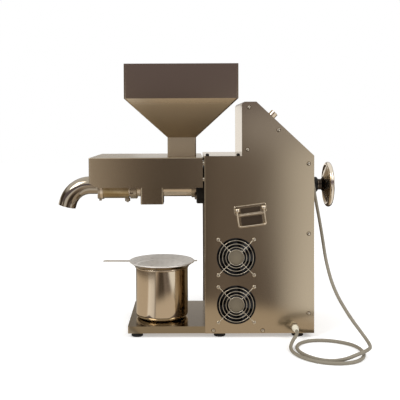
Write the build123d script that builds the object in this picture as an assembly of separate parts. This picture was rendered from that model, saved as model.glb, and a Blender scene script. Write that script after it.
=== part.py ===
"""Desk-top screw oil press with a heated head, gearmotor, hopper, oil pot and strainer.

Millimetres, +Z up, X along the press axis (cake leaves at -X, handwheel at +X).
The origin is on the table, below the centre of the machine.
"""
from build123d import *
import math
import os

# Main sizes of the machine
sheet = 1.5  # wall of the folded sheet pieces
fit = 0.1  # play of pieces that are pushed together
running = 0.05  # radial play of turning shafts
rest_gap = 0.3  # between lift-off pieces and their seats
front_x = 21.5  # outer face of the housing's front wall
body_length = 219.0
body_width = 200.0
foot_height = 9.0
tray_lip = 14.0
tray_margin = 11.0  # tray beyond the oil pot
low_top_z = 365.0
low_top_length = 75.0
high_top_z = 473.0
high_top_length = 29.0
slope_foot_z = 365.0
step_radius = 7.0
fold_radius = 3.0
flange_depth = 16.0  # turned-in flanges of the rear cover
screw_inset = 11.0  # panel screws from the panel's edge
axis_z = 299.0  # press axis above the table

# Press unit
barrel_outer = 24.5
barrel_bore = 20.0
barrel_set_back = 4.0  # barrel end from the front wall
head_length = 69.5
head_set_back = 13.0  # head end from the cover end
flange_radius = 30.0
flange_thick = 5.0
flange_bolt_radius = 24.5
heater_thick = 3.4
heater_margin = (6.0, 10.0)  # from the head end and from the joint
collar_length = 10.5
barrel_flange_thick = 15.0
barrel_flange_radius = 40.0
mount_bolt_radius = 33.0
chute_from_joint = 15.5
chute_length = 48.0
chute_width = 54.0
chute_foot_z = 260.0
chute_top_z = 302.0
slot_width = 1.2
slot_pitch = 4.0
auger_play = 0.3
auger_pitch = 24.0
auger_root_feed = 11.0
auger_root_press = 15.5
auger_tip_inset = 24.5
thermocouple_from_joint = 14.0
port_neck = (39.0, 36.0)  # outside of the feed port where it meets the barrel
port_mouth = (34.0, 28.0)  # opening of the feed port and of the barrel
feed_from_wall = 45.5  # centre of hopper, throat and feed port

# Cake elbow
elbow_outer = 19.0
elbow_wall = 2.0
elbow_radius = 50.0
elbow_angle = 75.0
elbow_run = 24.0
elbow_mouth_run = 8.0

# Cover, hopper and feed port
cover_length = 228.0
cover_gap = 3.0
cover_foot_z = 302.0
cover_top_z = 362.0
cover_chamfer = (20.0, 10.0)
throat = 60.0
throat_foot_z = 345.0
throat_top_z = 401.0
hopper_wall = 1.2
hopper_size = (228.0, 208.0)
hopper_band_z = 480.0
hopper_top_z = 549.0
hopper_corner = 4.0

# Shafts and gears
shaft_radius = 11.0
shoulder_from_wall = 7.5  # the shaft's shoulder that pushes the auger
shaft_tenon = 22.0
bearing_wall = 5.0
hex_drive = 14.0  # across flats of the auger's drive
pressure_angle = math.radians(25)
backlash = 0.2
output_module = 2.5
output_teeth = 44
lay_pinion_teeth = 11
motor_module = 2.0
lay_gear_teeth = 50
output_gear_width = 20.0
lay_gear_width = 12.0
gear_web = (20.0, 44.0)
gear_web_depth = 6.0
motor_pinion_teeth = 10
gear_tip_play = 1.0
case_wall = 3.5
case_from_wall = 28.5
case_lengths = (32.0, 25.0)
case_plate = 6.0
motor_radius = 55.0
motor_air = 22.0  # between the motor and the rear cover
rotor_radius = 31.5
rotor_inset = 15.0
motor_foot_half = 40.0
motor_foot_inset = 22.0
motor_shaft_radius = 6.0
lay_shaft_radius = 8.0

# Handwheel and its bushing
bushing_radius = 16.0
bushing_length = 25.5
wheel_radius = 48.0
wheel_rim_radius = 5.5
wheel_hub_length = 12.5
wheel_dish = 9.0
wheel_bore = 7.0

# Fans and guards
fan_size = 80.0
fan_depth = 25.0
fan_pitch = 71.5
fan_opening = 39.0
fan_from_wall = 63.0
fan_heights = {"upper": 162.0, "lower": 66.6}
guard_rings = (15.6, 20.8, 27.3, 34.2)
guard_wire = 1.8
blade_count = 7

# Controls on the slope, along the slope and across it from its middle
knob_place = (-34.5, -62.0)
knob_radius = 8.0
knob_height = 13.0
controller_place = (-12.0, 20.0)
controller_size = (48.0, 96.0)
controller_depth = 60.0
rocker_place = (46.0, 45.0)
rocker_size = (21.0, 15.0)
rocker_tilt = 7.0
rocker_pin_z = -3.0

# Carrying handles
handle_from_wall = 93.0
handle_z = 246.0
handle_tilt = 7.5
handle_plate = (66.0, 43.0)
handle_stud = 28.0
bail_wire = 2.0
bail_width = 54.0
bail_drop = 34.0
bail_pivot_up = 14.0
bail_bar = 1.6  # radius of the bar that closes the bail's loop
bail_bar_up = 2.75

# Oil pot and strainer
pot_from_chute = 20.0  # pot axis from the middle of the chute
pot_y = -20.0  # pot axis from the press axis, towards the fan side
pot_radius = 55.0
pot_height = 108.0
pot_wall = 1.2
pot_bottom_radius = 9.0
pot_rim = 2.0
strainer_radius = 68.0
strainer_rise = 9.5
strainer_wall = 0.8
strainer_bowl = 12.0
strainer_handle = 56.0

# Feet, fasteners and cable
foot_radius = 12.0
foot_insets = (18.0, 30.0, 31.0)  # from the tray front, the front wall and the rear
foot_from_side = 18.0
screw_radius = 2.0
screw_head = 3.5
screw_head_height = 2.0
gland_from_rear = 39.0
gland_height = 20.9
gland_radius = 6.5
gland_nut = 7.2
gland_lip = 1.1
gland_length = 25.0
cord_radius = 3.3
plug_length = 38.0
plug_radius = 13.0

# Lengths that follow from the sizes above
rear_x = front_x + body_length
half_width = body_width / 2
foot_y = half_width - foot_from_side
step_x = front_x + low_top_length
peak_x = step_x + high_top_length
deck_z = foot_height + tray_lip
inner_y = half_width - sheet
cover_x = (front_x - cover_gap - cover_length, front_x - cover_gap)
head_end_x = cover_x[0] + head_set_back
head_joint_x = head_end_x + head_length
heater_x = (head_end_x + heater_margin[0], head_joint_x - heater_margin[1])
thermocouple_x = head_joint_x - thermocouple_from_joint
auger_tip_x = head_end_x + auger_tip_inset
chute_x = (head_joint_x + chute_from_joint, head_joint_x + chute_from_joint + chute_length)
barrel_end = front_x - barrel_set_back
flange_x = front_x - barrel_flange_thick
collar_x = (flange_x - collar_length, flange_x)
feed_x = front_x - feed_from_wall
shoulder_x = front_x - shoulder_from_wall
shaft_tenon_x = shoulder_x - shaft_tenon
pot_x = (chute_x[0] + chute_x[1]) / 2 + pot_from_chute
tray_front_x = pot_x - pot_radius - tray_margin
foot_places = (tray_front_x + foot_insets[0], front_x + foot_insets[1], rear_x - foot_insets[2])
gland_place = (rear_x - gland_from_rear, gland_height)
fan_x = front_x + fan_from_wall
handle_x = front_x + handle_from_wall
pot_floor_z = deck_z + rest_gap
pot_rim_z = pot_floor_z + pot_height
lay_z = axis_z - output_module * (output_teeth + lay_pinion_teeth) / 2
motor_z = lay_z - motor_module * (lay_gear_teeth + motor_pinion_teeth) / 2
case_front_x = front_x + case_from_wall
case_split_x = case_front_x + case_lengths[0]
case_rear_x = case_split_x + case_lengths[1]
output_x = (case_front_x + 10.0, case_front_x + 10.0 + output_gear_width)
lay_gear_x = (case_split_x + 2.0, case_split_x + 2.0 + lay_gear_width)
motor_end_x = rear_x - sheet - motor_air
slope_run = rear_x - peak_x
slope_fall = high_top_z - slope_foot_z
slope_angle = math.degrees(math.atan2(slope_fall, slope_run))
slope_middle = ((peak_x + rear_x) / 2, (high_top_z + slope_foot_z) / 2)
slope_plane = Plane(
    origin=(slope_middle[0], 0, slope_middle[1]),
    x_dir=(slope_run, 0, -slope_fall),
    z_dir=(slope_fall, 0, slope_run),
)
bushing_end_x = rear_x + bushing_length
wheel_hub_x = (bushing_end_x + 0.5, bushing_end_x + 0.5 + wheel_hub_length)
wheel_rim_x = wheel_hub_x[1] + wheel_dish
bearing_bore = shaft_radius + bearing_wall


def box_between(x, y, z):
    """A box given by its ranges along X, Y and Z."""
    size = [high - low for low, high in (x, y, z)]
    return Pos(x[0], y[0], z[0]) * Box(*size, align=(Align.MIN,) * 3)


def rod_x(x, radius, z=axis_z, y=0.0):
    """A round bar along X."""
    bar = Cylinder(radius, x[1] - x[0], align=(Align.CENTER, Align.CENTER, Align.MIN))
    return Pos(x[0], y, z) * Rot(0, 90, 0) * bar


def rod_y(y, radius, x, z):
    """A round bar along Y."""
    bar = Cylinder(radius, y[1] - y[0], align=(Align.CENTER, Align.CENTER, Align.MIN))
    return Pos(x, y[0], z) * Rot(-90, 0, 0) * bar


def rod_z(z, radius, x, y):
    """A round bar along Z."""
    bar = Cylinder(radius, z[1] - z[0], align=(Align.CENTER, Align.CENTER, Align.MIN))
    return Pos(x, y, z[0]) * bar


def turned_x(points, z=axis_z):
    """A turned piece about a line along X, from (x, radius) points."""
    outline = Polyline([(x, 0, radius) for x, radius in points], close=True)
    return Pos(0, 0, z) * revolve(make_face(outline), Axis.X)


def turned_z(points, x=0.0, y=0.0):
    """A turned piece about a vertical line, from (radius, z) points."""
    outline = Polyline([(radius, 0, z) for radius, z in points], close=True)
    return Pos(x, y, 0) * revolve(make_face(outline), Axis.Z)


def hex_bar_x(x, across_flats, z=axis_z, y=0.0):
    """A hexagonal bar along X."""
    face = Plane.YZ.offset(x[0]) * RegularPolygon(across_flats / 2, 6, major_radius=False)
    return Pos(0, y, z) * extrude(face, x[1] - x[0])


def group(shapes):
    """Separate solids that share one node."""
    return Compound([solid for shape in shapes for solid in shape.solids()])


def pan_screw(length, radius=screw_radius, head=screw_head, height=screw_head_height):
    """A pan-head screw along Z, with its head's seat at the origin and its shank below."""
    points = [
        (0, -length),
        (radius, -length),
        (radius, 0),
        (head, 0),
        (head, height * 0.5),
        (head * 0.6, height),
        (0, height),
    ]
    return turned_z(points)


def hex_bolt(length, radius, across_flats, height):
    """A hexagon-head bolt along Z, with its head's seat at the origin and its shank below."""
    head = extrude(RegularPolygon(across_flats / 2, 6, major_radius=False), height)
    return head + rod_z((-length, 0), radius, 0, 0)


# Turns a piece made along Z to point away from one side of the machine
facing_near = Rot(90, 0, 0)
facing_far = Rot(-90, 0, 0)
facing_left = Rot(0, -90, 0)


# Housing


def side_outline(inset=0.0):
    """The housing's side view as a face on the XZ plane, moved in by an inset."""
    corners = [
        (front_x, foot_height),
        (rear_x, foot_height),
        (rear_x, slope_foot_z),
        (peak_x, high_top_z),
        (step_x, high_top_z),
        (step_x, low_top_z),
        (front_x, low_top_z),
    ]
    face = Plane.XZ * make_face(Polyline(corners, close=True))
    rounded = [v for v in face.vertices() if abs(v.X - step_x) < 1 and v.Z > low_top_z + 1]
    face = fillet(rounded, step_radius)
    if inset:
        face = offset(face, -inset, kind=Kind.INTERSECTION)
    return face


def along_width(face, y):
    """A face on the XZ plane made solid over a range of Y."""
    solid = extrude(face, (y[1] - y[0]) / 2, both=True)
    return Pos(0, (y[0] + y[1]) / 2, 0) * solid


def panel_screw_places():
    """The side panels' screws as (x, z), all the same distance from the panel's edges."""
    slope_point = slope_plane * Pos(-8.0, 0, -screw_inset)
    return [
        (rear_x - screw_inset, 49.0),
        (rear_x - screw_inset, 209.0),
        (rear_x - screw_inset, slope_foot_z - 16.0),
        (slope_point.position.X, slope_point.position.Z),
        (step_x + screw_inset, low_top_z + 13.0),
        (step_x + screw_inset + 3.0, high_top_z - screw_inset),
    ]


def tray_screw_places():
    """The screws that join the side panels to the tray's lip, as (x, z)."""
    height = foot_height + tray_lip * 0.42
    return [(front_x + 17.0, height), (front_x + 115.6, height)]


def fan_screw_places(centre_z):
    """The four screws of one fan, as (x, z)."""
    half = fan_pitch / 2
    return [(fan_x + i * half, centre_z + j * half) for i in (-1, 1) for j in (-1, 1)]


def handle_stud_places():
    """The two studs of a carrying handle, as (x, z)."""
    tilt = math.radians(handle_tilt)
    return [
        (
            handle_x + side * handle_stud * math.cos(tilt),
            handle_z + side * handle_stud * math.sin(tilt),
        )
        for side in (-1, 1)
    ]


def vent_slots():
    """Cutters for the outlet slots in the far side panel."""
    slots = []
    for column in (-1, 1):
        for row in range(6):
            centre = Pos(fan_x + 22.0 + column * 27.0, half_width, 70.0 + row * 14.0)
            slots.append(centre * Rot(90, 0, 0) * extrude(SlotOverall(42.0, 4.0), 6.0, both=True))
    return slots


def make_main_housing():
    body = along_width(side_outline(), (-half_width, half_width))
    body -= box_between((front_x + sheet, rear_x + 10), (-inner_y, inner_y), (0, high_top_z + 10))
    body -= box_between((front_x - 10, front_x + sheet + 10), (-inner_y, inner_y), (0, deck_z))
    front_edges = body.edges().filter_by(Axis.Z).filter_by(
        lambda e: abs(e.center().X - front_x) < 0.1 and abs(abs(e.center().Y) - half_width) < 0.1
    )
    body = fillet(front_edges, fold_radius - sheet)
    through = (-half_width - 5, half_width + 5)
    near = (-half_width - 5, -inner_y + 5)
    hole = screw_radius + fit
    for x, z in panel_screw_places() + tray_screw_places():
        body -= rod_y(through, hole, x, z)
    for x, z in handle_stud_places():
        body -= rod_y(through, hole, x, z)
    for height in fan_heights.values():
        body -= rod_y(near, fan_opening, fan_x, height)
        for x, z in fan_screw_places(height):
            body -= rod_y(near, hole, x, z)
    body -= rod_y(near, gland_radius - 1.0 + fit, *gland_place)
    body -= vent_slots()
    wall = (front_x - 5, front_x + sheet + 5)
    body -= rod_x(wall, shaft_radius + 4.0)
    for y, z in ring_places(mount_bolt_radius, 45):
        body -= rod_x(wall, 3.3, z, y)
    for y, z in cover_screw_places():
        body -= rod_x(wall, hole, z, y)
    return body


def make_rear_cover():
    shell = along_width(side_outline() - side_outline(sheet), (-inner_y, inner_y))
    rim = along_width(side_outline(sheet) - side_outline(sheet + flange_depth), (-inner_y, inner_y))
    rim -= box_between((0, rear_x), (-inner_y + sheet, inner_y - sheet), (0, high_top_z))
    flange_foot = low_top_z - sheet - flange_depth
    rim -= box_between((0, rear_x - sheet - flange_depth), (-inner_y, inner_y), (0, flange_foot))
    cover = shell + rim
    cover -= box_between((0, front_x + sheet), (-half_width, half_width), (0, high_top_z))
    cover -= box_between((0, rear_x - sheet), (-half_width, half_width), (0, deck_z + rest_gap))
    for x, z in panel_screw_places():
        cover -= rod_y((-half_width, half_width), screw_radius + fit, x, z)
    cover -= rod_x((rear_x - 9, rear_x + 9), bushing_radius - 3.0 + fit)
    for x, y in top_screw_places():
        cover -= rod_z((low_top_z - 9, low_top_z + 9), 2.5 + fit, x, y)
    for cutter in (controller_body(fit), rocker_housing(fit)):
        cover -= cutter
    cover -= slope_plane * Pos(*knob_place, 0) * Cylinder(4.0, 12.0)
    return cover


def make_base_tray():
    tray = box_between((tray_front_x, rear_x - sheet), (-inner_y, inner_y), (foot_height, deck_z))
    tray = fillet(tray.edges().filter_by(Axis.Z), fold_radius)
    hollow = box_between(
        (tray_front_x + sheet, rear_x - 2 * sheet),
        (-inner_y + sheet, inner_y - sheet),
        (foot_height - 1, deck_z - sheet),
    )
    tray -= fillet(hollow.edges().filter_by(Axis.Z), fold_radius - sheet)
    for x, z in tray_screw_places():
        tray -= rod_y((-half_width, half_width), screw_radius + fit, x, z)
    tray -= rod_y((-half_width, -inner_y + 5), gland_radius + 4.0, *gland_place)
    for x, y in foot_spots():
        tray -= rod_z((deck_z - 5, deck_z + 5), screw_radius + fit, x, y)
    return tray


def foot_spots():
    """Where the feet stand, as (x, y)."""
    return [(x, side * foot_y) for x in foot_places for side in (-1, 1)]


def make_rubber_feet():
    deck_under = deck_z - sheet
    points = [
        (0, 0),
        (foot_radius - 1, 0),
        (foot_radius, 1),
        (foot_radius - 1.5, foot_height),
        (foot_radius - 3, foot_height + 1),
        (foot_radius - 3, deck_under),
        (screw_radius, deck_under),
        (screw_radius, deck_z),
        (0, deck_z),
    ]
    return group([turned_z(points, x, y) for x, y in foot_spots()])


def make_housing_screws():
    screws = []
    for x, z in panel_screw_places() + tray_screw_places():
        screws.append(Pos(x, -half_width, z) * facing_near * pan_screw(8.0))
        screws.append(Pos(x, half_width, z) * facing_far * pan_screw(8.0))
    return group(screws)


def top_screw_places():
    """The two dark screws on the low top, as (x, y)."""
    return [(front_x + 6.5, -half_width + 14.0), (step_x - 6.5, -half_width + 14.0)]


def make_top_screws():
    screws = []
    for x, y in top_screw_places():
        nut = extrude(RegularPolygon(4.0, 6, major_radius=False), 3.5)
        nut -= Cylinder(2.5 + fit, 12.0)
        screws.append(Pos(x, y, low_top_z) * pan_screw(9.0, 2.5, 3.6, 4.5))
        screws.append(Pos(x, y, low_top_z - sheet - 3.5) * nut)
    return group(screws)


# Press unit


def ring_places(radius, first_angle, count=4):
    """Places spaced on a circle round the press axis, as (y, z)."""
    angles = [math.radians(first_angle + 360 / count * k) for k in range(count)]
    return [(radius * math.cos(a), axis_z + radius * math.sin(a)) for a in angles]


def feed_slot(x_size, y_size, z):
    """A cutter of the feed opening's size over a range of Z."""
    x = (feed_x - x_size / 2, feed_x + x_size / 2)
    return box_between(x, (-y_size / 2, y_size / 2), z)


def make_press_barrel():
    barrel = rod_x((head_joint_x, barrel_end), barrel_outer)
    barrel -= rod_x((head_joint_x - 1, barrel_end + 1), barrel_bore)
    barrel -= feed_slot(*port_mouth, (axis_z, axis_z + barrel_outer + 5))
    slot_low = axis_z - barrel_outer - 2
    slot_count = int((chute_x[1] - chute_x[0] - 10) / slot_pitch)
    for k in range(slot_count):
        x = chute_x[0] + 6 + k * slot_pitch
        y = (-barrel_outer, barrel_outer)
        barrel -= box_between((x, x + slot_width), y, (slot_low, axis_z - barrel_bore * 0.45))
    return barrel


def make_barrel_ring():
    ring = rod_x(collar_x, barrel_outer + 2.5)
    ring = chamfer(ring.edges().filter_by(GeomType.CIRCLE), 0.8)
    return ring - rod_x((collar_x[0] - 1, collar_x[1] + 1), barrel_outer + fit)


def make_barrel_flange():
    flange = rod_x((collar_x[1], front_x), barrel_flange_radius)
    flange = chamfer(flange.edges().group_by(Axis.X)[0], 2.0)
    flange -= rod_x((collar_x[1] - 1, barrel_end), barrel_outer + fit)
    flange -= rod_x((barrel_end - 1, front_x + 1), shaft_radius + 4.0)
    for y, z in ring_places(mount_bolt_radius, 45):
        flange -= rod_x((collar_x[1] - 1, front_x + 1), 3.3, z, y)
    return flange


def make_flange_bolts():
    bolt = hex_bolt(26.0, 3.0, 10.0, 4.0)
    bolts = [
        Pos(collar_x[1], y, z) * facing_left * bolt for y, z in ring_places(mount_bolt_radius, 45)
    ]
    return group(bolts)


def make_auger():
    crest = barrel_bore - auger_play
    neck_x = auger_tip_x + 10.0
    root = turned_x(
        [
            (auger_tip_x - 12.0, 0),
            (auger_tip_x - 12.0, 5.0),
            (auger_tip_x, auger_root_press),
            (neck_x, auger_root_press),
            (feed_x, auger_root_feed),
            (shoulder_x - 10.0, auger_root_feed),
            (shoulder_x - 8.0, crest),
            (shoulder_x, crest),
            (shoulder_x, 0),
        ]
    )
    flight_length = shoulder_x - 10.0 - auger_tip_x
    start = (auger_tip_x, 0, axis_z)
    path = Helix(auger_pitch, flight_length, barrel_bore, direction=(1, 0, 0), center=start)
    inner = auger_root_feed - 2.0
    section_plane = Plane(origin=path @ 0, x_dir=path @ 0 - Vector(start), z_dir=path % 0)
    reach = barrel_bore - inner
    outline = Polyline([(-reach, -3.2), (1.0, -1.2), (1.0, 1.2), (-reach, 3.2)], close=True)
    flight = sweep(section_plane * make_face(outline), path, is_frenet=True)
    flight &= rod_x((auger_tip_x + 1.0, shoulder_x - 9.0), crest)
    auger = root + flight
    return auger - hex_bar_x((shaft_tenon_x - fit, barrel_end + 1), hex_drive + 2 * fit)


def make_press_head():
    throat_x = head_end_x + 18.0
    head = turned_x(
        [
            (head_end_x, 9.0),
            (head_end_x, flange_radius),
            (head_end_x + flange_thick, flange_radius),
            (head_end_x + flange_thick, barrel_outer),
            (head_joint_x, barrel_outer),
            (head_joint_x, barrel_bore),
            (throat_x + 6.0, barrel_bore),
            (throat_x - 8.0, 9.0),
        ]
    )
    for y, z in ring_places(flange_bolt_radius, 0):
        head -= rod_x((head_end_x - 1, head_end_x + flange_thick), 2.5 + fit, z, y)
    low = axis_z - barrel_outer
    return head - rod_z((low - 1, low + 3.0), 3.0 + fit, thermocouple_x, 0)


def make_head_lock_ring():
    x = (head_joint_x - 7.5, head_joint_x + 7.5)
    ring = rod_x(x, barrel_outer + 4.5)
    ring = chamfer(ring.edges().filter_by(GeomType.CIRCLE), 1.2)
    ring -= rod_x((x[0] - 1, x[1] + 1), barrel_outer + fit)
    for y, z in ring_places(barrel_outer + 5.0, 30, 6):
        ring -= rod_x((x[0] - 1, x[0] + 8.0), 2.5, z, y)
    return ring


def make_heater_band():
    outer = barrel_outer + fit + heater_thick
    band = rod_x(heater_x, outer)
    band -= rod_x((heater_x[0] - 1, heater_x[1] + 1), barrel_outer + fit)
    band -= box_between(heater_x, (-1.0, 1.0), (axis_z - outer - 5, axis_z - barrel_outer + 1))
    return band - rod_z((axis_z - outer - 5, axis_z), 3.0 + fit, thermocouple_x, 0)


def make_thermocouple():
    seat = axis_z - barrel_outer - fit - heater_thick
    hexagon = extrude(RegularPolygon(5.0, 6, major_radius=False), -6.5)
    stem = rod_z((0, heater_thick + 2.8), 3.0, 0, 0)
    tail = rod_z((-9.0, -6.5), 2.4, 0, 0)
    return Pos(thermocouple_x, 0, seat) * (hexagon + stem + tail)


def make_outlet_flange():
    x = (head_end_x - flange_thick, head_end_x)
    flange = rod_x(x, flange_radius) - rod_x((x[0] - 1, x[1] + 1), elbow_outer + fit)
    for y, z in ring_places(flange_bolt_radius, 0):
        flange -= rod_x((x[0] - 1, x[1] + 1), 2.5 + fit, z, y)
    foot = axis_z - flange_radius
    lug = rod_z((foot - 3.0, foot + 2.0), 4.5, (x[0] + x[1]) / 2, 0)
    return flange + (lug & box_between(x, (-5, 5), (foot - 5, foot + 5)))


def make_outlet_bolts():
    bolt = hex_bolt(2 * flange_thick - 0.5, 2.5, 8.0, 3.5)
    x = head_end_x - flange_thick
    return group([Pos(x, y, z) * facing_left * bolt for y, z in ring_places(flange_bolt_radius, 0)])


def elbow_path():
    """The elbow's centre line: a straight run, the bend and a short straight mouth."""
    start = (head_end_x, 0, axis_z)
    bend_x = head_end_x - elbow_run
    turn = math.radians(elbow_angle)
    bend_end = (
        bend_x - elbow_radius * math.sin(turn),
        0,
        axis_z - elbow_radius * (1 - math.cos(turn)),
    )
    mouth = (
        bend_end[0] - elbow_mouth_run * math.cos(turn),
        0,
        bend_end[2] - elbow_mouth_run * math.sin(turn),
    )
    bend = TangentArc((bend_x, 0, axis_z), bend_end, tangent=(-1, 0, 0))
    return Line(start, (bend_x, 0, axis_z)) + bend + Line(bend_end, mouth)


def make_cake_elbow():
    section = Circle(elbow_outer) - Circle(elbow_outer - elbow_wall)
    plane = Plane(origin=(head_end_x, 0, axis_z), z_dir=(-1, 0, 0))
    return sweep(plane * section, elbow_path())


def make_oil_chute():
    half = chute_width / 2
    chute = box_between(chute_x, (-half, half), (chute_foot_z, chute_top_z))
    chute = fillet(chute.edges().filter_by(Axis.Z), fold_radius)
    inside = box_between(
        (chute_x[0] + sheet, chute_x[1] - sheet),
        (-half + sheet, half - sheet),
        (chute_foot_z - 1, chute_top_z + 1),
    )
    chute -= inside
    return chute - rod_x((chute_x[0] - 1, chute_x[1] + 1), barrel_outer + fit)


# Cover, feed port and hopper


def cover_screw_places():
    """The screws between the cover's rear flange and the front wall, as (y, z)."""
    return [(side * (inner_y - 6.0), z) for side in (-1, 1) for z in (318.0, 350.0)]


def make_chamber_cover():
    y = (-half_width, half_width)
    cover = box_between(cover_x, y, (cover_foot_z, cover_top_z))
    cover = fillet(cover.edges().filter_by(Axis.Z).group_by(Axis.X)[0], fold_radius)
    cover = fillet(cover.edges().group_by(Axis.Z)[-1], fold_radius - sheet)
    cover -= box_between(
        (cover_x[0] + sheet, cover_x[1] - sheet),
        (-inner_y, inner_y),
        (cover_foot_z - 1, cover_top_z - sheet),
    )
    open_y = inner_y - 12.0
    cover -= box_between((0, cover_x[1] + 1), (-open_y, open_y), (cover_foot_z - 1, cover_top_z - 13.0))
    notch = elbow_outer + 3.0
    cover -= rod_x((cover_x[0] - 1, cover_x[0] + 9), notch)
    cover -= box_between((cover_x[0] - 1, cover_x[0] + 9), (-notch, notch), (cover_foot_z - 1, axis_z + 4))
    corner = Polyline(
        [
            (cover_x[0] - 1, cover_foot_z - 1),
            (cover_x[0] + cover_chamfer[0], cover_foot_z - 1),
            (cover_x[0] + cover_chamfer[0], cover_foot_z),
            (cover_x[0] - 1, cover_foot_z + cover_chamfer[1]),
        ],
        close=True,
    )
    cover -= along_width(Plane.XZ * make_face(corner), (-half_width - 1, half_width + 1))
    cover -= feed_slot(throat + 1.0, throat + 1.0, (cover_top_z - 5, cover_top_z + 5))
    for y_place, z in cover_screw_places():
        cover -= rod_x((cover_x[1] - 5, cover_x[1] + 5), screw_radius + fit, z, y_place)
    return cover


def make_cover_screws():
    pieces = []
    for y, z in cover_screw_places():
        spacer = rod_x((cover_x[1], front_x), 4.0, z, y) - rod_x((0, 30), screw_radius + fit, z, y)
        pieces.append(spacer)
        pieces.append(Pos(cover_x[1] - sheet, y, z) * facing_left * pan_screw(12.0))
    return group(pieces)


def square_tube(side, corner, z):
    """A square prism with rounded corners at the feed, over a range of Z."""
    plane = Plane(origin=(feed_x, 0, z[0]))
    return extrude(plane * RectangleRounded(side, side, corner), z[1] - z[0])


def tapered(low, high, z, corners):
    """A straight-sided loft between two rounded rectangles over the feed."""
    faces = [
        Plane(origin=(feed_x, 0, height)) * RectangleRounded(*size, corner)
        for size, height, corner in zip((low, high), z, corners)
    ]
    return loft(faces, ruled=True)


def make_feed_port():
    socket = throat + 2 * rest_gap
    outside = socket + 2 * sheet
    ledge = throat - 3.0
    knee_z = axis_z + barrel_outer + 3.0
    port = square_tube(outside, hopper_corner, (throat_foot_z - rest_gap, cover_top_z - sheet - 1.0))
    port += tapered(port_neck, (outside, outside), (knee_z, throat_foot_z - rest_gap), (3.0, hopper_corner))
    port += feed_slot(*port_neck, (axis_z + barrel_outer - 9.0, knee_z))
    port -= square_tube(socket, hopper_corner, (throat_foot_z - rest_gap, cover_top_z + 5))
    port -= tapered(port_mouth, (ledge, ledge), (knee_z, throat_foot_z - rest_gap), (1.0, 2.0))
    port -= feed_slot(*port_mouth, (axis_z, knee_z))
    return port - rod_x((head_joint_x, barrel_end), barrel_outer + fit)


def hopper_form(inset):
    """The hopper's outer form, or the space inside it when moved in by the wall."""
    corner = hopper_corner - inset
    narrow = (throat - 2 * inset,) * 2
    wide = tuple(size - 2 * inset for size in hopper_size)
    form = square_tube(narrow[0], corner, (throat_foot_z - inset, throat_top_z))
    form += tapered(narrow, wide, (throat_top_z, hopper_band_z), (corner, corner))
    top = Plane(origin=(feed_x, 0, hopper_band_z)) * RectangleRounded(*wide, corner)
    return form + extrude(top, hopper_top_z + inset - hopper_band_z)


def make_hopper():
    return hopper_form(0.0) - hopper_form(hopper_wall)


# Drive


def involute(angle):
    """The involute function of an angle in radians."""
    return math.tan(angle) - angle


def spur_gear(teeth, module, x, z, gap_up=False):
    """An involute spur gear along X, with a tooth or a gap pointing up."""
    pitch_radius = module * teeth / 2
    base_radius = pitch_radius * math.cos(pressure_angle)
    root_radius = pitch_radius - 1.25 * module
    tip_radius = pitch_radius + module
    radii = [root_radius, max(base_radius, root_radius + 0.1), pitch_radius, tip_radius]
    pitch_half = math.pi / (2 * teeth) - backlash / (2 * pitch_radius)
    first = math.pi / teeth if gap_up else 0.0

    def half_angle(radius):
        roll = math.acos(min(1.0, base_radius / radius))
        return pitch_half + involute(pressure_angle) - involute(roll)

    points = []
    for k in range(teeth):
        centre = first + 2 * math.pi * k / teeth
        rising = [(r, centre - half_angle(r)) for r in radii]
        falling = [(r, centre + half_angle(r)) for r in reversed(radii)]
        points += [(r * math.sin(a), r * math.cos(a)) for r, a in rising + falling]
    face = Plane.YZ.offset(x[0]) * make_face(Polyline(points, close=True))
    return Pos(0, 0, z) * extrude(face, x[1] - x[0])


def case_outline(wall):
    """The gear case's outline round its three shafts, as a face facing along X."""
    output_tip = output_module * (output_teeth / 2 + 1)
    lay_tip = motor_module * (lay_gear_teeth / 2 + 1)
    pinion_tip = motor_module * (motor_pinion_teeth / 2 + 1)
    circles = [
        Pos(0, height) * Circle(tip + gear_tip_play + wall)
        for height, tip in ((axis_z, output_tip), (lay_z, lay_tip), (motor_z, pinion_tip + 3.0))
    ]
    return make_hull([edge for circle in circles for edge in circle.edges()])


def case_block(x, wall):
    """The gear case's outline made solid over a range of X."""
    return extrude(Plane.YZ.offset(x[0]) * case_outline(wall), x[1] - x[0])


def case_bolt_places():
    """The bolts that hold the gear case's halves together, as (y, z)."""
    side = output_module * (output_teeth / 2 + 1) + gear_tip_play
    return [(s * (side - 2.0), z) for s in (-1, 1) for z in (axis_z + 34.0, lay_z - 8.0)]


def case_ears(x):
    """The bolt ears of one half of the gear case."""
    ears = [rod_x(x, 7.0, z, y * 1.06) for y, z in case_bolt_places()]
    return ears


def make_bearing_housing():
    housing = turned_x(
        [
            (front_x + sheet, bearing_bore + fit),
            (front_x + sheet, barrel_flange_radius + 2),
            (front_x + sheet + 10, barrel_flange_radius + 2),
            (front_x + sheet + 13, 28.0),
            (case_front_x - 10, 28.0),
            (case_front_x - 8, barrel_flange_radius + 2),
            (case_front_x, barrel_flange_radius + 2),
            (case_front_x, bearing_bore + fit),
        ]
    )
    for y, z in ring_places(mount_bolt_radius, 45):
        housing -= rod_x((front_x, front_x + sheet + 10), 3.0 + fit, z, y)
    return housing


def make_front_bearing():
    x = (front_x + sheet, case_front_x + case_plate)
    return rod_x(x, bearing_bore) - rod_x((x[0] - 1, x[1] + 1), shaft_radius + running)


def make_thrust_washer():
    x = (case_front_x + case_plate, output_x[0] - running)
    return rod_x(x, 20.0) - rod_x((x[0] - 1, x[1] + 1), shaft_radius + 3 * fit)


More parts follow.
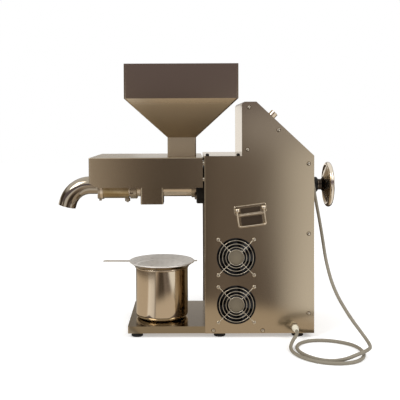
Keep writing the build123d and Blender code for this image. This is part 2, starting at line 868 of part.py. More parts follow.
def make_gear_case_front():
    x = (case_front_x, case_split_x)
    case = case_block(x, case_wall)
    for ear in case_ears(x):
        case += ear
    case -= case_block((case_front_x + case_plate, case_split_x + 1), 0.0)
    case -= rod_x((case_front_x - 1, case_front_x + case_plate + 1), bearing_bore + fit)
    case += rod_x((case_front_x, output_x[0] - 2.0), lay_shaft_radius + 5, lay_z)
    case -= rod_x((case_front_x + 2.0, output_x[0]), lay_shaft_radius + running, lay_z)
    for y, z in case_bolt_places():
        case -= rod_x((case_split_x - 16.0, case_split_x + 1), 3.0 + fit, z, y * 1.06)
    return case


def make_gear_case_rear():
    x = (case_split_x, case_rear_x)
    case = case_block(x, case_wall)
    for ear in case_ears(x):
        case += ear
    case -= case_block((case_split_x - 1, case_rear_x - case_plate), 0.0)
    plate = (case_rear_x - case_plate - 1, case_rear_x + 1)
    case -= rod_x(plate, shaft_radius + running)
    case -= rod_x(plate, motor_shaft_radius + 2.0, motor_z)
    case -= rod_x((plate[0], case_rear_x - 2.0), lay_shaft_radius + running, lay_z)
    for y, z in case_bolt_places():
        case -= rod_x((case_split_x - 1, case_rear_x + 1), 3.0 + fit, z, y * 1.06)
    return case


def make_case_bolts():
    bolt = hex_bolt(case_rear_x - case_split_x + 14.0, 3.0, 10.0, 4.0)
    facing_right = Rot(0, 90, 0)
    places = case_bolt_places()
    return group([Pos(case_rear_x, y * 1.06, z) * facing_right * bolt for y, z in places])


def make_output_gear():
    gear = spur_gear(output_teeth, output_module, output_x, axis_z)
    front_face, rear_face = output_x
    for x in ((front_face - 1, front_face + gear_web_depth), (rear_face - gear_web_depth, rear_face + 1)):
        gear -= rod_x(x, gear_web[1]) - rod_x(x, gear_web[0])
    return gear - rod_x((output_x[0] - 1, output_x[1] + 1), shaft_radius + fit)


def make_lay_shaft():
    shaft = rod_x((case_front_x + 2.5, case_rear_x - 2.5), lay_shaft_radius, lay_z)
    pinion_x = (output_x[0] - 1, output_x[1] + 1)
    return shaft + spur_gear(lay_pinion_teeth, output_module, pinion_x, lay_z, True)


def make_lay_gear():
    gear = spur_gear(lay_gear_teeth, motor_module, lay_gear_x, lay_z)
    return gear - rod_x((lay_gear_x[0] - 1, lay_gear_x[1] + 1), lay_shaft_radius + fit, lay_z)


def make_motor_housing():
    x = (case_rear_x, motor_end_x)
    can = rod_x(x, motor_radius, motor_z)
    can = chamfer(can.edges().filter_by(GeomType.CIRCLE).group_by(Axis.X)[-1], 4.0)
    for side in range(10):
        angle = math.radians(36 * side)
        rib = box_between((x[0] + 12, x[1] - 12), (-2.0, 2.0), (motor_radius - 2, motor_radius + 2.5))
        can += Pos(0, 0, motor_z) * Rot(math.degrees(angle), 0, 0) * rib
    can -= rod_x((x[0] + rotor_inset - 5, x[1] - rotor_inset + 5), rotor_radius + 0.5, motor_z)
    return can - rod_x((x[0] - 1, x[1] - 4), motor_shaft_radius + running, motor_z)


def make_motor_rotor():
    shaft = rod_x((lay_gear_x[0] - 1, motor_end_x - 5), motor_shaft_radius, motor_z)
    core = rod_x((case_rear_x + rotor_inset, motor_end_x - rotor_inset), rotor_radius, motor_z)
    pinion_x = (lay_gear_x[0] - 1, lay_gear_x[1] + 1)
    return shaft + core + spur_gear(motor_pinion_teeth, motor_module, pinion_x, motor_z, True)


def make_motor_bracket():
    y = (-motor_foot_half, motor_foot_half)
    plate_x = (case_rear_x + rotor_inset, motor_end_x - rotor_inset)
    bracket = box_between(plate_x, y, (deck_z, deck_z + 3))
    for x in (case_rear_x + motor_foot_inset, motor_end_x - motor_foot_inset - 4):
        bracket += box_between((x, x + 4), y, (deck_z, motor_z - motor_radius * 0.55))
    return bracket - rod_x((case_rear_x, motor_end_x), motor_radius + 2.5 + rest_gap, motor_z)


def make_main_shaft():
    x = (shoulder_x, bushing_end_x)
    shaft = rod_x(x, shaft_radius)
    shaft += hex_bar_x((shaft_tenon_x, x[0]), hex_drive)
    wheel_seat = rod_x((x[1], wheel_hub_x[1]), wheel_bore)
    return shaft + wheel_seat


def make_rear_bushing():
    bushing = rod_x((rear_x, bushing_end_x - 1.0), bushing_radius)
    bushing = chamfer(bushing.edges().group_by(Axis.X)[-1], 2.0)
    bushing += rod_x((rear_x - 8.0, rear_x), bushing_radius - 3.0)
    return bushing - rod_x((rear_x - 9, bushing_end_x), shaft_radius + running)


def make_handwheel():
    hub_radius = 11.5
    rim_centre = wheel_radius - wheel_rim_radius
    outline = Polyline(
        [
            (wheel_hub_x[0], wheel_bore + fit),
            (wheel_hub_x[0], hub_radius),
            (wheel_hub_x[1] - 6.0, hub_radius),
            (wheel_hub_x[1] - 2.0, hub_radius + 5.0),
            (wheel_rim_x - 3.0, rim_centre - 4.0),
            (wheel_rim_x, rim_centre - 2.0),
            (wheel_hub_x[1] + 2.5, hub_radius + 6.0),
            (wheel_hub_x[1] + 1.0, wheel_bore + fit),
        ],
        close=True,
    )
    disc = Plane.XZ * make_face(outline)
    rim = Plane.XZ * Pos(wheel_rim_x, rim_centre) * Circle(wheel_rim_radius)
    wheel = revolve(disc, Axis.X) + revolve(rim, Axis.X)
    return Pos(0, 0, axis_z) * wheel


# Fans


def at_fan(centre_z):
    """Places a piece made along Z, with its outer face at the origin, behind the near panel."""
    return Pos(fan_x, -inner_y, centre_z) * Rot(90, 0, 0)


def make_fan_frame(centre_z):
    plate = 4.0
    duct = fan_size / 2 - 2.0
    frame = Cylinder(fan_size / 2, fan_depth)
    corners = extrude(RectangleRounded(fan_size, fan_size, 4.0), plate)
    frame += Pos(0, 0, fan_depth / 2 - plate) * corners
    frame += Pos(0, 0, -fan_depth / 2) * corners
    frame -= Cylinder(duct, fan_depth + 2)
    for k in range(3):
        strut = box_between((0, duct + 1), (-1.5, 1.5), (-fan_depth / 2, -fan_depth / 2 + 3))
        frame += Rot(0, 0, 120 * k + 30) * strut
    frame += Pos(0, 0, -fan_depth / 2 + 1.5) * Cylinder(17.0, 3.0)
    frame += rod_z((-fan_depth / 2, 1.0), 13.0, 0, 0)
    frame += rod_z((0, 5.0), 2.0, 0, 0)
    for i in (-1, 1):
        for j in (-1, 1):
            frame -= Pos(i * fan_pitch / 2, j * fan_pitch / 2, 0) * Cylinder(screw_radius + fit, 60)
    return at_fan(centre_z) * Pos(0, 0, -fan_depth / 2) * frame


def make_fan_impeller(centre_z):
    hub_radius = 17.0
    tip_radius = fan_size / 2 - 3.6
    hub = turned_z(
        [
            (0, 10.5),
            (hub_radius - 1, 10.5),
            (hub_radius, 9.5),
            (hub_radius, -8.0),
            (hub_radius - 2, -8.0),
            (hub_radius - 2, 8.5),
            (5.0, 8.5),
            (5.0, 3.0),
            (2.0 + running, 3.0),
            (2.0 + running, 6.0),
            (0, 6.0),
        ]
    )
    blade = loft(
        [
            Plane.YZ.offset(hub_radius - 1.0) * Rot(0, 0, 48) * Rectangle(1.6, 20.0),
            Plane.YZ.offset(tip_radius) * Rot(0, 0, 62) * Rectangle(1.2, 24.0),
        ],
        ruled=True,
    )
    blade &= Cylinder(tip_radius, 60)
    for k in range(blade_count):
        hub += Rot(0, 0, 360 / blade_count * k) * blade
    return at_fan(centre_z) * Pos(0, 0, -fan_depth / 2) * hub


def make_fan_guard(centre_z):
    w = guard_wire
    diagonal = fan_pitch / math.sqrt(2)
    guard = rod_z((0, w), 4.2, diagonal, 0)
    for angle in (90, 180, 270):
        guard += Rot(0, 0, angle) * rod_z((0, w), 4.2, diagonal, 0)
    guard += box_between((-diagonal, diagonal), (-w / 2, w / 2), (0, w))
    guard += box_between((-w / 2, w / 2), (-diagonal, diagonal), (0, w))
    guard -= rod_z((-1, w + 1), guard_rings[0] - w / 2, 0, 0)
    for angle in (0, 90, 180, 270):
        guard -= Rot(0, 0, angle) * rod_z((-1, w + 1), screw_radius + fit, diagonal, 0)
    for radius in guard_rings:
        ring = rod_z((w, 2 * w), radius + w / 2, 0, 0) - rod_z((0, 3 * w), radius - w / 2, 0, 0)
        guard += ring
    return Pos(fan_x, -half_width, centre_z) * Rot(90, 0, 0) * Rot(0, 0, 45) * guard


def make_fan_screws():
    screws = []
    for height in fan_heights.values():
        for x, z in fan_screw_places(height):
            seat = -half_width - guard_wire
            screws.append(Pos(x, seat, z) * facing_near * pan_screw(30.0))
    return group(screws)


# Controls on the slope


def make_selector_knob():
    points = [
        (3.0 + running, 0.8),
        (knob_radius, 0.8),
        (knob_radius, knob_height - 1.0),
        (knob_radius - 1.0, knob_height),
        (0, knob_height),
        (0, 9.0),
        (3.0 + running, 9.0),
    ]
    knob = turned_z(points)
    knob -= box_between((-0.6, 0.6), (2.0, knob_radius + 1), (knob_height - 1.0, knob_height + 1))
    return slope_plane * Pos(*knob_place, 0) * knob


def make_selector_switch():
    stem = rod_z((-2, 8.0), 3.0, 0, 0)
    body = box_between((-13, 13), (-13, 13), (-20, -sheet - 0.5))
    neck = rod_z((-sheet - 0.5, 0.5), 4.0 - fit, 0, 0)
    return slope_plane * Pos(*knob_place, 0) * (body + neck + stem)


def controller_body(play):
    """The part of the controller behind the panel, or its cutter when play is added."""
    width, height = controller_size[0] - 4 + 2 * play, controller_size[1] - 4 + 2 * play
    depth = controller_depth if play == 0 else 5.0
    block = Box(width, height, depth, align=(Align.CENTER, Align.CENTER, Align.MAX))
    return slope_plane * Pos(*controller_place, 0 if play == 0 else 1.0) * block


def make_temperature_controller():
    bezel = extrude(RectangleRounded(*controller_size, 2.0), 2.5)
    bezel -= Pos(-4.0, 0, 1.5) * extrude(Rectangle(24.0, 76.0), 2.0)
    bezel = slope_plane * Pos(*controller_place, 0) * bezel
    buttons = [
        slope_plane * Pos(controller_place[0] + 15.0, controller_place[1] + y, 2.5) * extrude(
            RectangleRounded(6.0, 11.0, 1.5), 1.0
        )
        for y in (-30.0, -10.0, 10.0, 30.0)
    ]
    return bezel + controller_body(0.0) + buttons


def rocker_housing(play):
    """The rocker switch's body behind the panel, or its cutter when play is added."""
    width, height = rocker_size[0] - 2 + 2 * play, rocker_size[1] - 2 + 2 * play
    depth = 18.0 if play == 0 else 5.0
    block = Box(width, height, depth, align=(Align.CENTER, Align.CENTER, Align.MAX))
    return slope_plane * Pos(*rocker_place, 0 if play == 0 else 1.0) * block


def make_rocker_body():
    bezel = slope_plane * Pos(*rocker_place, 0) * extrude(RectangleRounded(*rocker_size, 1.5), 1.6)
    body = bezel + rocker_housing(0.0)
    well = box_between((-8.2, 8.2), (-5.2, 5.2), (-8, 5))
    body -= slope_plane * Pos(*rocker_place, 0) * well
    pin = rod_z((-5.5, 5.5), 1.0, 0, 0)
    return body + slope_plane * Pos(*rocker_place, rocker_pin_z) * Rot(90, 0, 0) * pin


def make_rocker_paddle():
    points = [(-7.6, -1.0), (0, -5.2), (7.6, -1.0), (7.6, 2.4), (0, 1.4), (-7.6, 2.4)]
    outline = Polyline(points, close=True)
    paddle = extrude(Plane.XZ * make_face(outline), 4.8, both=True)
    paddle -= Pos(0, 0, rocker_pin_z) * Rot(90, 0, 0) * Cylinder(1.0 + running, 20)
    turn = Pos(0, 0, rocker_pin_z) * Rot(0, rocker_tilt, 0) * Pos(0, 0, -rocker_pin_z)
    return slope_plane * Pos(*rocker_place, 0) * turn * paddle


# Carrying handles


def at_handle(side):
    """Places a handle made on the XY plane, with +Y up and +Z away from the panel."""
    turn = Rot(90, 0, 0) if side < 0 else Rot(0, 0, 180) * Rot(90, 0, 0)
    tilt = -handle_tilt if side < 0 else handle_tilt
    return Pos(handle_x, side * half_width, handle_z) * turn * Rot(0, 0, -tilt)


def bail_pivot_out():
    """How far the bail's pivot stands off the panel."""
    return bail_wire + 3.0


def make_handle_plate(side):
    plate = extrude(RectangleRounded(*handle_plate, 5.0), 2.0)
    plate -= Pos(0, -9.5, 1.0) * extrude(RectangleRounded(bail_width - 12.0, 17.0, 2.0), 2.0)
    plate -= Pos(0, 11.5, 1.0) * extrude(RectangleRounded(bail_width - 15.0, 10.0, 2.0), 2.0)
    pivot = (bail_pivot_up, bail_pivot_out())
    for end in (-1, 1):
        x = sorted((end * (bail_width / 2 - 5.5), end * (bail_width / 2 + 4.5)))
        lug = rod_x(x, 4.2, pivot[1], pivot[0])
        lug += box_between(x, (pivot[0] - 4.2, pivot[0] + 4.2), (1.0, pivot[1]))
        plate += lug
    for end in (-1, 1):
        plate += rod_z((-6.0, 1.0), screw_radius, end * handle_stud, 0)
    plate -= rod_x((-60, 60), bail_wire + running, pivot[1], pivot[0])
    gap = (-bail_width / 2 - bail_wire - 0.4, -bail_width / 2 + bail_wire + 0.4)
    for end in (-1, 1):
        x = sorted((end * gap[0], end * gap[1]))
        plate -= box_between(x, (pivot[0] - 9.0, pivot[0] + 9.0), (2.0, 30.0))
    return at_handle(side) * plate


def make_handle_bail(side):
    half = bail_width / 2
    up, out = bail_pivot_up, bail_pivot_out()
    points = [
        (half - 5.5, up, out),
        (half, up, out),
        (half, up - bail_drop, out),
        (-half, up - bail_drop, out),
        (-half, up, out),
        (-half + 5.5, up, out),
    ]
    path = FilletPolyline(points, radius=[0.5, 4.0, 4.0, 0.5])
    section = Plane(origin=points[0], z_dir=(1, 0, 0)) * Circle(bail_wire)
    closing_bar = rod_x((-half, half), bail_bar, out, bail_bar_up)
    return at_handle(side) * (sweep(section, path) + closing_bar)


# Oil pot and strainer


def make_oil_pot():
    low = pot_floor_z
    outer = pot_radius
    with BuildSketch(Plane.XZ) as section:
        with BuildLine():
            Line((0, low), (outer - pot_bottom_radius, low))
            JernArc((outer - pot_bottom_radius, low), (1, 0), pot_bottom_radius, 90)
            Line((outer, low + pot_bottom_radius), (outer, pot_rim_z - pot_rim))
            inner = pot_bottom_radius - pot_wall
            Line((outer, pot_rim_z - pot_rim), (outer - pot_wall, pot_rim_z - pot_rim))
            Line((outer - pot_wall, pot_rim_z - pot_rim), (outer - pot_wall, low + pot_bottom_radius))
            JernArc((outer - pot_wall, low + pot_bottom_radius), (0, -1), inner, -90)
            Line((outer - pot_bottom_radius, low + pot_wall), (0, low + pot_wall))
            Line((0, low + pot_wall), (0, low))
        make_face()
        with Locations((outer, pot_rim_z - pot_rim)):
            Circle(pot_rim)
    return Pos(pot_x, pot_y, 0) * revolve(section.sketch, Axis.Z)


def make_strainer():
    seat = pot_rim_z + rest_gap
    wall = strainer_wall
    bowl = pot_radius - pot_wall - pot_rim - 1.0
    flat = pot_radius + pot_rim
    top = seat + strainer_rise
    points = [
        (0, seat - strainer_bowl),
        (bowl - 14.0, seat - strainer_bowl + 1.0),
        (bowl, seat),
        (flat, seat),
        (strainer_radius, top - 1.5),
        (strainer_radius + 1.0, top - 1.5),
        (strainer_radius + 1.0, top),
        (strainer_radius - wall, top),
        (flat - wall, seat + wall),
        (bowl - wall, seat + wall),
        (bowl - 14.0 - wall, seat - strainer_bowl + 1.0 + wall),
        (0, seat - strainer_bowl + wall),
    ]
    strainer = turned_z(points)
    x = (-strainer_radius - strainer_handle, -strainer_radius + 0.5)
    strap = box_between(x, (-7.0, 7.0), (top - 2.0, top - 0.5))
    strap = fillet(strap.edges().filter_by(Axis.Z).group_by(Axis.X)[0], 6.0)
    strap -= rod_z((top - 5, top + 5), 3.0, x[0] + 10.0, 0)
    hook = box_between((strainer_radius, strainer_radius + 7.0), (-5.0, 5.0), (top - 2.0, top - 0.5))
    return Pos(pot_x, pot_y, 0) * (strainer + strap + hook)


# Cable


def make_cable_gland():
    x, z = gland_place
    outer = -half_width
    relief = loft(
        [
            Plane.XZ.offset(4.0) * Circle(gland_radius),
            Plane.XZ.offset(gland_length) * Circle(cord_radius + gland_lip),
        ],
        ruled=True,
    )
    nut = Plane.XZ * RegularPolygon(gland_nut, 6, major_radius=False)
    gland = Pos(x, outer, z) * (relief + extrude(nut, 4.5))
    gland += rod_y((outer, -inner_y + 5.0), gland_radius - 1.0, x, z)
    locknut = extrude(nut, -3.0) - rod_y((-9, 9), gland_radius - 1.0, 0, 0)
    return gland + Pos(x, -inner_y, z) * locknut


cord_floor = cord_radius + 0.1
cord_over_z = axis_z + bushing_radius + 3 * cord_radius

# The cord: out of the gland, nearly two loose turns on the table, the second inside the first
# and then over it, up behind the handwheel, over its bushing and down behind the machine.
# X is given from the rear wall.
cord_route = [
    (-gland_from_rear, -half_width - gland_length, gland_height),
    (-gland_from_rear, -half_width - gland_length - 15.0, gland_height),
    (-53.5, -158.0, 11.0),
    (-61.0, -182.0, cord_floor),
    (-50.0, -220.0, cord_floor),
    (-22.5, -248.0, cord_floor),
    (13.5, -258.5, cord_floor),
    (47.5, -250.5, cord_floor),
    (68.5, -225.0, cord_floor),
    (74.5, -190.0, cord_floor),
    (66.5, -159.0, cord_floor),
    (43.5, -138.0, cord_floor),
    (12.5, -127.0, cord_floor),
    (-16.5, -130.0, cord_floor),
    (-37.5, -146.0, cord_floor),
    (-48.0, -172.0, cord_floor),
    (-43.5, -202.0, cord_floor),
    (-26.5, -229.0, cord_floor),
    (-1.5, -245.0, cord_floor),
    (26.5, -247.0, cord_floor + 3.0),
    (53.5, -236.0, cord_floor + 9.0),
    (76.5, -217.0, cord_floor + 10.0),
    (89.5, -193.0, cord_floor + 8.5),
    (82.5, -166.0, 24.0),
    (60.5, -142.0, 54.0),
    (37.0, -113.0, 98.0),
    (26.5, -86.0, 148.0),
    (23.5, -63.0, 196.0),
    (19.5, -46.0, 236.0),
    (13.5, -37.0, 276.0),
    (9.5, -35.0, axis_z + 7.0),
    (9.0, -16.0, cord_over_z + 0.5),
    (9.0, 16.0, cord_over_z + 0.5),
    (9.0, 35.0, axis_z + 7.0),
    (9.5, 39.0, 270.0),
    (9.5, 45.0, 215.0),
    (9.5, 54.0, 150.0),
    (9.5, 65.0, 95.0),
    (10.0, 82.0, 46.0),
    (8.5, 106.0, 13.0),
    (-12.5, 128.0, cord_floor),
    (-44.5, 134.0, cord_floor),
    (-76.5, 129.0, plug_radius * 0.5),
    (-106.5, 128.0, plug_radius * 0.65),
]
cord_points = [(rear_x + x, y, z) for x, y, z in cord_route]


def cord_radii():
    """The radius of the cord at each corner of its route, from the shorter run and the turn."""
    radii = []
    for before, here, after in zip(cord_points, cord_points[1:], cord_points[2:]):
        run_in = Vector(here) - Vector(before)
        run_out = Vector(after) - Vector(here)
        turn = math.radians(run_in.get_angle(run_out))
        radii.append(0.45 * min(run_in.length, run_out.length) / math.tan(turn / 2))
    return radii


def make_power_cord():
    path = FilletPolyline(cord_points, radius=cord_radii())
    start = Plane(origin=path @ 0, z_dir=path % 0)
    return sweep(start * Circle(cord_radius), path)


def make_mains_plug():
    end = Vector(cord_points[-1])
    along = (end - Vector(cord_points[-2])).normalized()
    plane = Plane(origin=end, x_dir=(0, 1, 0), z_dir=along)
    body = loft(
        [
            plane * Circle(cord_radius + 1.2),
            plane.offset(14.0) * Circle(plug_radius * 0.62),
            plane.offset(plug_length - 8.0) * Circle(plug_radius * 0.62),
        ],
        ruled=True,
    )
    body += extrude(plane.offset(plug_length - 8.0) * Circle(plug_radius * 0.62), 8.0)
    for side in (-1, 1):
        pin = plane.offset(plug_length) * Pos(side * 4.5, 0) * Circle(2.2)
        body += extrude(pin, 18.0)
    return body


def make_parts():
    """Every piece of the press by its node's name."""
    pieces = {
        "main_housing": make_main_housing(),
        "rear_cover": make_rear_cover(),
        "base_tray": make_base_tray(),
        "rubber_feet": make_rubber_feet(),
        "housing_screws": make_housing_screws(),
        "top_screws": make_top_screws(),
        "press_barrel": make_press_barrel(),
        "barrel_ring": make_barrel_ring(),
        "barrel_flange": make_barrel_flange(),
        "flange_bolts": make_flange_bolts(),
        "auger": make_auger(),
        "press_head": make_press_head(),
        "head_lock_ring": make_head_lock_ring(),
        "heater_band": make_heater_band(),
        "thermocouple": make_thermocouple(),
        "outlet_flange": make_outlet_flange(),
        "outlet_bolts": make_outlet_bolts(),
        "cake_elbow": make_cake_elbow(),
        "oil_chute": make_oil_chute(),
        "chamber_cover": make_chamber_cover(),
        "cover_screws": make_cover_screws(),
        "feed_port": make_feed_port(),
        "hopper": make_hopper(),
        "bearing_housing": make_bearing_housing(),
        "front_bearing": make_front_bearing(),
        "thrust_washer": make_thrust_washer(),
        "gear_case_front": make_gear_case_front(),
        "gear_case_rear": make_gear_case_rear(),
        "case_bolts": make_case_bolts(),
        "output_gear": make_output_gear(),
        "lay_shaft": make_lay_shaft(),
        "lay_gear": make_lay_gear(),
        "motor_housing": make_motor_housing(),
        "motor_rotor": make_motor_rotor(),
        "motor_bracket": make_motor_bracket(),
        "main_shaft": make_main_shaft(),
        "rear_bushing": make_rear_bushing(),
        "handwheel": make_handwheel(),
        "fan_screws": make_fan_screws(),
        "selector_knob": make_selector_knob(),
        "selector_switch": make_selector_switch(),
        "temperature_controller": make_temperature_controller(),
        "rocker_body": make_rocker_body(),
        "rocker_paddle": make_rocker_paddle(),
        "oil_pot": make_oil_pot(),
        "strainer": make_strainer(),
        "cable_gland": make_cable_gland(),
        "power_cord": make_power_cord(),
        "mains_plug": make_mains_plug(),
    }
    for name, height in fan_heights.items():
        pieces[f"{name}_fan_frame"] = make_fan_frame(height)
        pieces[f"{name}_fan_impeller"] = make_fan_impeller(height)
        pieces[f"{name}_fan_guard"] = make_fan_guard(height)
    for name, side in (("near", -1), ("far", 1)):
        pieces[f"{name}_handle_plate"] = make_handle_plate(side)
        pieces[f"{name}_handle_bail"] = make_handle_bail(side)
    return pieces


os.makedirs("parts", exist_ok=True)
for node, shape in make_parts().items():
    export_step(shape, f"parts/{node}.step")
print("cord radii", [round(radius) for radius in cord_radii()])
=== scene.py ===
"""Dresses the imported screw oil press: cord, strainer, screws, display, finishes and studio stage."""
import math

import bmesh
import bpy
from bpy.props import FloatProperty, FloatVectorProperty, IntProperty, PointerProperty
from mathutils import Matrix, Vector


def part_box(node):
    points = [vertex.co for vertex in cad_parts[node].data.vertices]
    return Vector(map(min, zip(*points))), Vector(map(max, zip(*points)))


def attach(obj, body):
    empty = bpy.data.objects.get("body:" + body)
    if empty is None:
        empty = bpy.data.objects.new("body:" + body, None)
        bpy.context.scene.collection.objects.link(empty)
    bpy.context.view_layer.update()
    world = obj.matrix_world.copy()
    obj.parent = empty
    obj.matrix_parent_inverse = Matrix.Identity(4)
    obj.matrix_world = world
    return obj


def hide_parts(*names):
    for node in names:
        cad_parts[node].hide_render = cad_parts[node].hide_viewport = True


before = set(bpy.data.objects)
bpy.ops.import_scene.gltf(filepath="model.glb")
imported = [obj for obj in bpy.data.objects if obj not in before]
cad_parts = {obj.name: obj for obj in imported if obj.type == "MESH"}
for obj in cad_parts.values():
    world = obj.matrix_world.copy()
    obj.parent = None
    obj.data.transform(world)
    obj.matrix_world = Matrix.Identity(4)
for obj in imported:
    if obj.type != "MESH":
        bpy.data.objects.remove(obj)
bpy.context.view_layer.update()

bl_info = {
    "name": "Screw oil press dressing",
    "version": (1, 0, 0),
    "blender": (4, 5, 0),
    "location": "3D View > Sidebar > Oil press",
    "description": "Adds the cord, strainer, screws, display and finishes of a desk-top screw oil press",
    "category": "Object",
}

# Places that the CAD source gives, in metres, and the tilt of the handles in degrees
half_width = 0.100
sheet_thickness = 0.0015
front_wall = 0.0215
rear_wall = 0.2405
step_wall = 0.0965
low_top = 0.365
peak = (0.1255, 0.473)
slope_foot = (0.2405, 0.365)
press_axis = 0.299
pot_place = (-0.0675, -0.020)
fan_axis = 0.0845
fan_depth = 0.025
fan_hub_depth = 0.021
fan_heights = (0.162, 0.0666)
fan_screw_half = 0.03575
handle_place = (0.1145, 0.246)
handle_tilt = 7.5
hopper_fold = 0.482
knob_place = (-0.0345, -0.062)
controller_place = (-0.012, 0.020)

# The photograph's viewpoint, in metres and degrees
camera_place = (-0.0079, -1.4362, 0.4282)
camera_pitch = 88.5
camera_roll = -0.25


def linear(code):
    """Scene-linear colour from an sRGB hex value such as #C2B29C."""
    parts = [int(code[i:i + 2], 16) / 255 for i in (1, 3, 5)]
    return tuple(v / 12.92 if v <= 0.04045 else ((v + 0.055) / 1.055) ** 2.4 for v in parts)


def shaded(colour, factor):
    """A colour made lighter or darker."""
    return (*[min(1.0, channel * factor) for channel in colour], 1.0)


# Settings that a user would change


class CordSettings(bpy.types.PropertyGroup):
    thickness: FloatProperty(
        name="Thickness",
        description="Diameter of the mains cord",
        default=0.0066,
        min=0.004,
        max=0.01,
        subtype="DISTANCE",
        unit="LENGTH",
    )
    sheath: FloatVectorProperty(
        name="Sheath colour",
        description="Colour of the cord's PVC sheath",
        default=linear("#8C8474"),
        min=0,
        max=1,
        subtype="COLOR",
    )


class StrainerSettings(bpy.types.PropertyGroup):
    rim_bead: FloatProperty(
        name="Rim bead",
        description="Radius of the rolled edge of the strainer",
        default=0.0009,
        min=0.0004,
        max=0.002,
        subtype="DISTANCE",
        unit="LENGTH",
    )
    mesh_pitch: FloatProperty(
        name="Mesh pitch",
        description="Spacing of the drawn weave, coarser than the real wire cloth",
        default=0.0018,
        min=0.0005,
        max=0.004,
        subtype="DISTANCE",
        unit="LENGTH",
    )
    cloth: FloatVectorProperty(
        name="Wire cloth colour",
        description="Colour of the strainer's fine wire cloth",
        default=linear("#E2DDD6"),
        min=0,
        max=1,
        subtype="COLOR",
    )


class SteelSettings(bpy.types.PropertyGroup):
    sheet: FloatVectorProperty(
        name="Sheet colour",
        description="Colour of the brushed stainless sheet",
        default=linear("#B7A890"),
        min=0,
        max=1,
        subtype="COLOR",
    )
    polished: FloatVectorProperty(
        name="Polished colour",
        description="Colour of the polished stainless pieces",
        default=linear("#D2C3AC"),
        min=0,
        max=1,
        subtype="COLOR",
    )
    sheet_roughness: FloatProperty(
        name="Sheet roughness",
        description="How far the brushed sheet blurs what it reflects",
        default=0.15,
        min=0.05,
        max=0.8,
        subtype="FACTOR",
    )
    grain: FloatProperty(
        name="Grain width",
        description="Width of the drawn brush lines, wider than the real 0.1 mm",
        default=0.0006,
        min=0.0002,
        max=0.01,
        subtype="DISTANCE",
        unit="LENGTH",
    )


class DisplaySettings(bpy.types.PropertyGroup):
    measured: IntProperty(
        name="Measured",
        description="Temperature on the display's upper line",
        default=180,
        min=0,
        max=999,
    )
    wanted: IntProperty(
        name="Wanted",
        description="Temperature on the display's lower line",
        default=200,
        min=0,
        max=999,
    )


class StageSettings(bpy.types.PropertyGroup):
    key_power: FloatProperty(
        name="Key power",
        description="Power of the large lamp at the upper left",
        default=34.0,
        min=0,
        max=500,
        unit="POWER",
    )
    fill_power: FloatProperty(
        name="Fill power",
        description="Power of the large lamp at the upper right",
        default=20.0,
        min=0,
        max=500,
        unit="POWER",
    )
    sky: FloatProperty(
        name="Room light",
        description="Strength of the white room on surfaces that scatter light",
        default=0.72,
        min=0,
        max=1,
        subtype="FACTOR",
    )


class PressSettings(bpy.types.PropertyGroup):
    cord: PointerProperty(type=CordSettings)
    strainer: PointerProperty(type=StrainerSettings)
    steel: PointerProperty(type=SteelSettings)
    display: PointerProperty(type=DisplaySettings)
    stage: PointerProperty(type=StageSettings)


# Materials


def add_node(tree, kind, settings=None, inputs=None):
    """Adds one node, sets its properties and fills or links its inputs."""
    node = tree.nodes.new(kind)
    for name, value in (settings or {}).items():
        setattr(node, name, value)
    for name, value in (inputs or {}).items():
        if isinstance(value, bpy.types.NodeSocket):
            tree.links.new(value, node.inputs[name])
        else:
            node.inputs[name].default_value = value
    return node


def empty_tree(owner):
    """Gives a material or a world an empty node tree."""
    owner.use_nodes = True
    owner.node_tree.nodes.clear()
    return owner.node_tree


def start_finish(name, colour, roughness, metallic=0.0):
    """A material with one Principled shader, and its object coordinates in metres."""
    material = bpy.data.materials.new(name)
    tree = empty_tree(material)
    look = {"Base Color": (*colour, 1.0), "Roughness": roughness, "Metallic": metallic}
    shader = add_node(tree, "ShaderNodeBsdfPrincipled", inputs=look)
    add_node(tree, "ShaderNodeOutputMaterial", inputs={"Surface": shader.outputs[0]})
    place = add_node(tree, "ShaderNodeTexCoord").outputs["Object"]
    return material, tree, shader, place


def vary(tree, shader, pattern, colour, contrast, roughness, spread, relief=None):
    """Lets a pattern change the colour by a contrast, the roughness by a spread, and the height.

    The relief is a bump's strength and its depth in metres.
    """
    tone = add_node(
        tree,
        "ShaderNodeMix",
        {"data_type": "RGBA"},
        {0: pattern, 6: shaded(colour, 1 - contrast), 7: shaded(colour, 1 + contrast)},
    )
    tree.links.new(tone.outputs[2], shader.inputs["Base Color"])
    ends = {"Value": pattern, "To Min": roughness - spread, "To Max": roughness + spread}
    rough = add_node(tree, "ShaderNodeMapRange", inputs=ends)
    tree.links.new(rough.outputs[0], shader.inputs["Roughness"])
    if relief:
        height = {"Height": pattern, "Strength": relief[0], "Distance": relief[1]}
        normal = add_node(tree, "ShaderNodeBump", inputs=height)
        tree.links.new(normal.outputs[0], shader.inputs["Normal"])


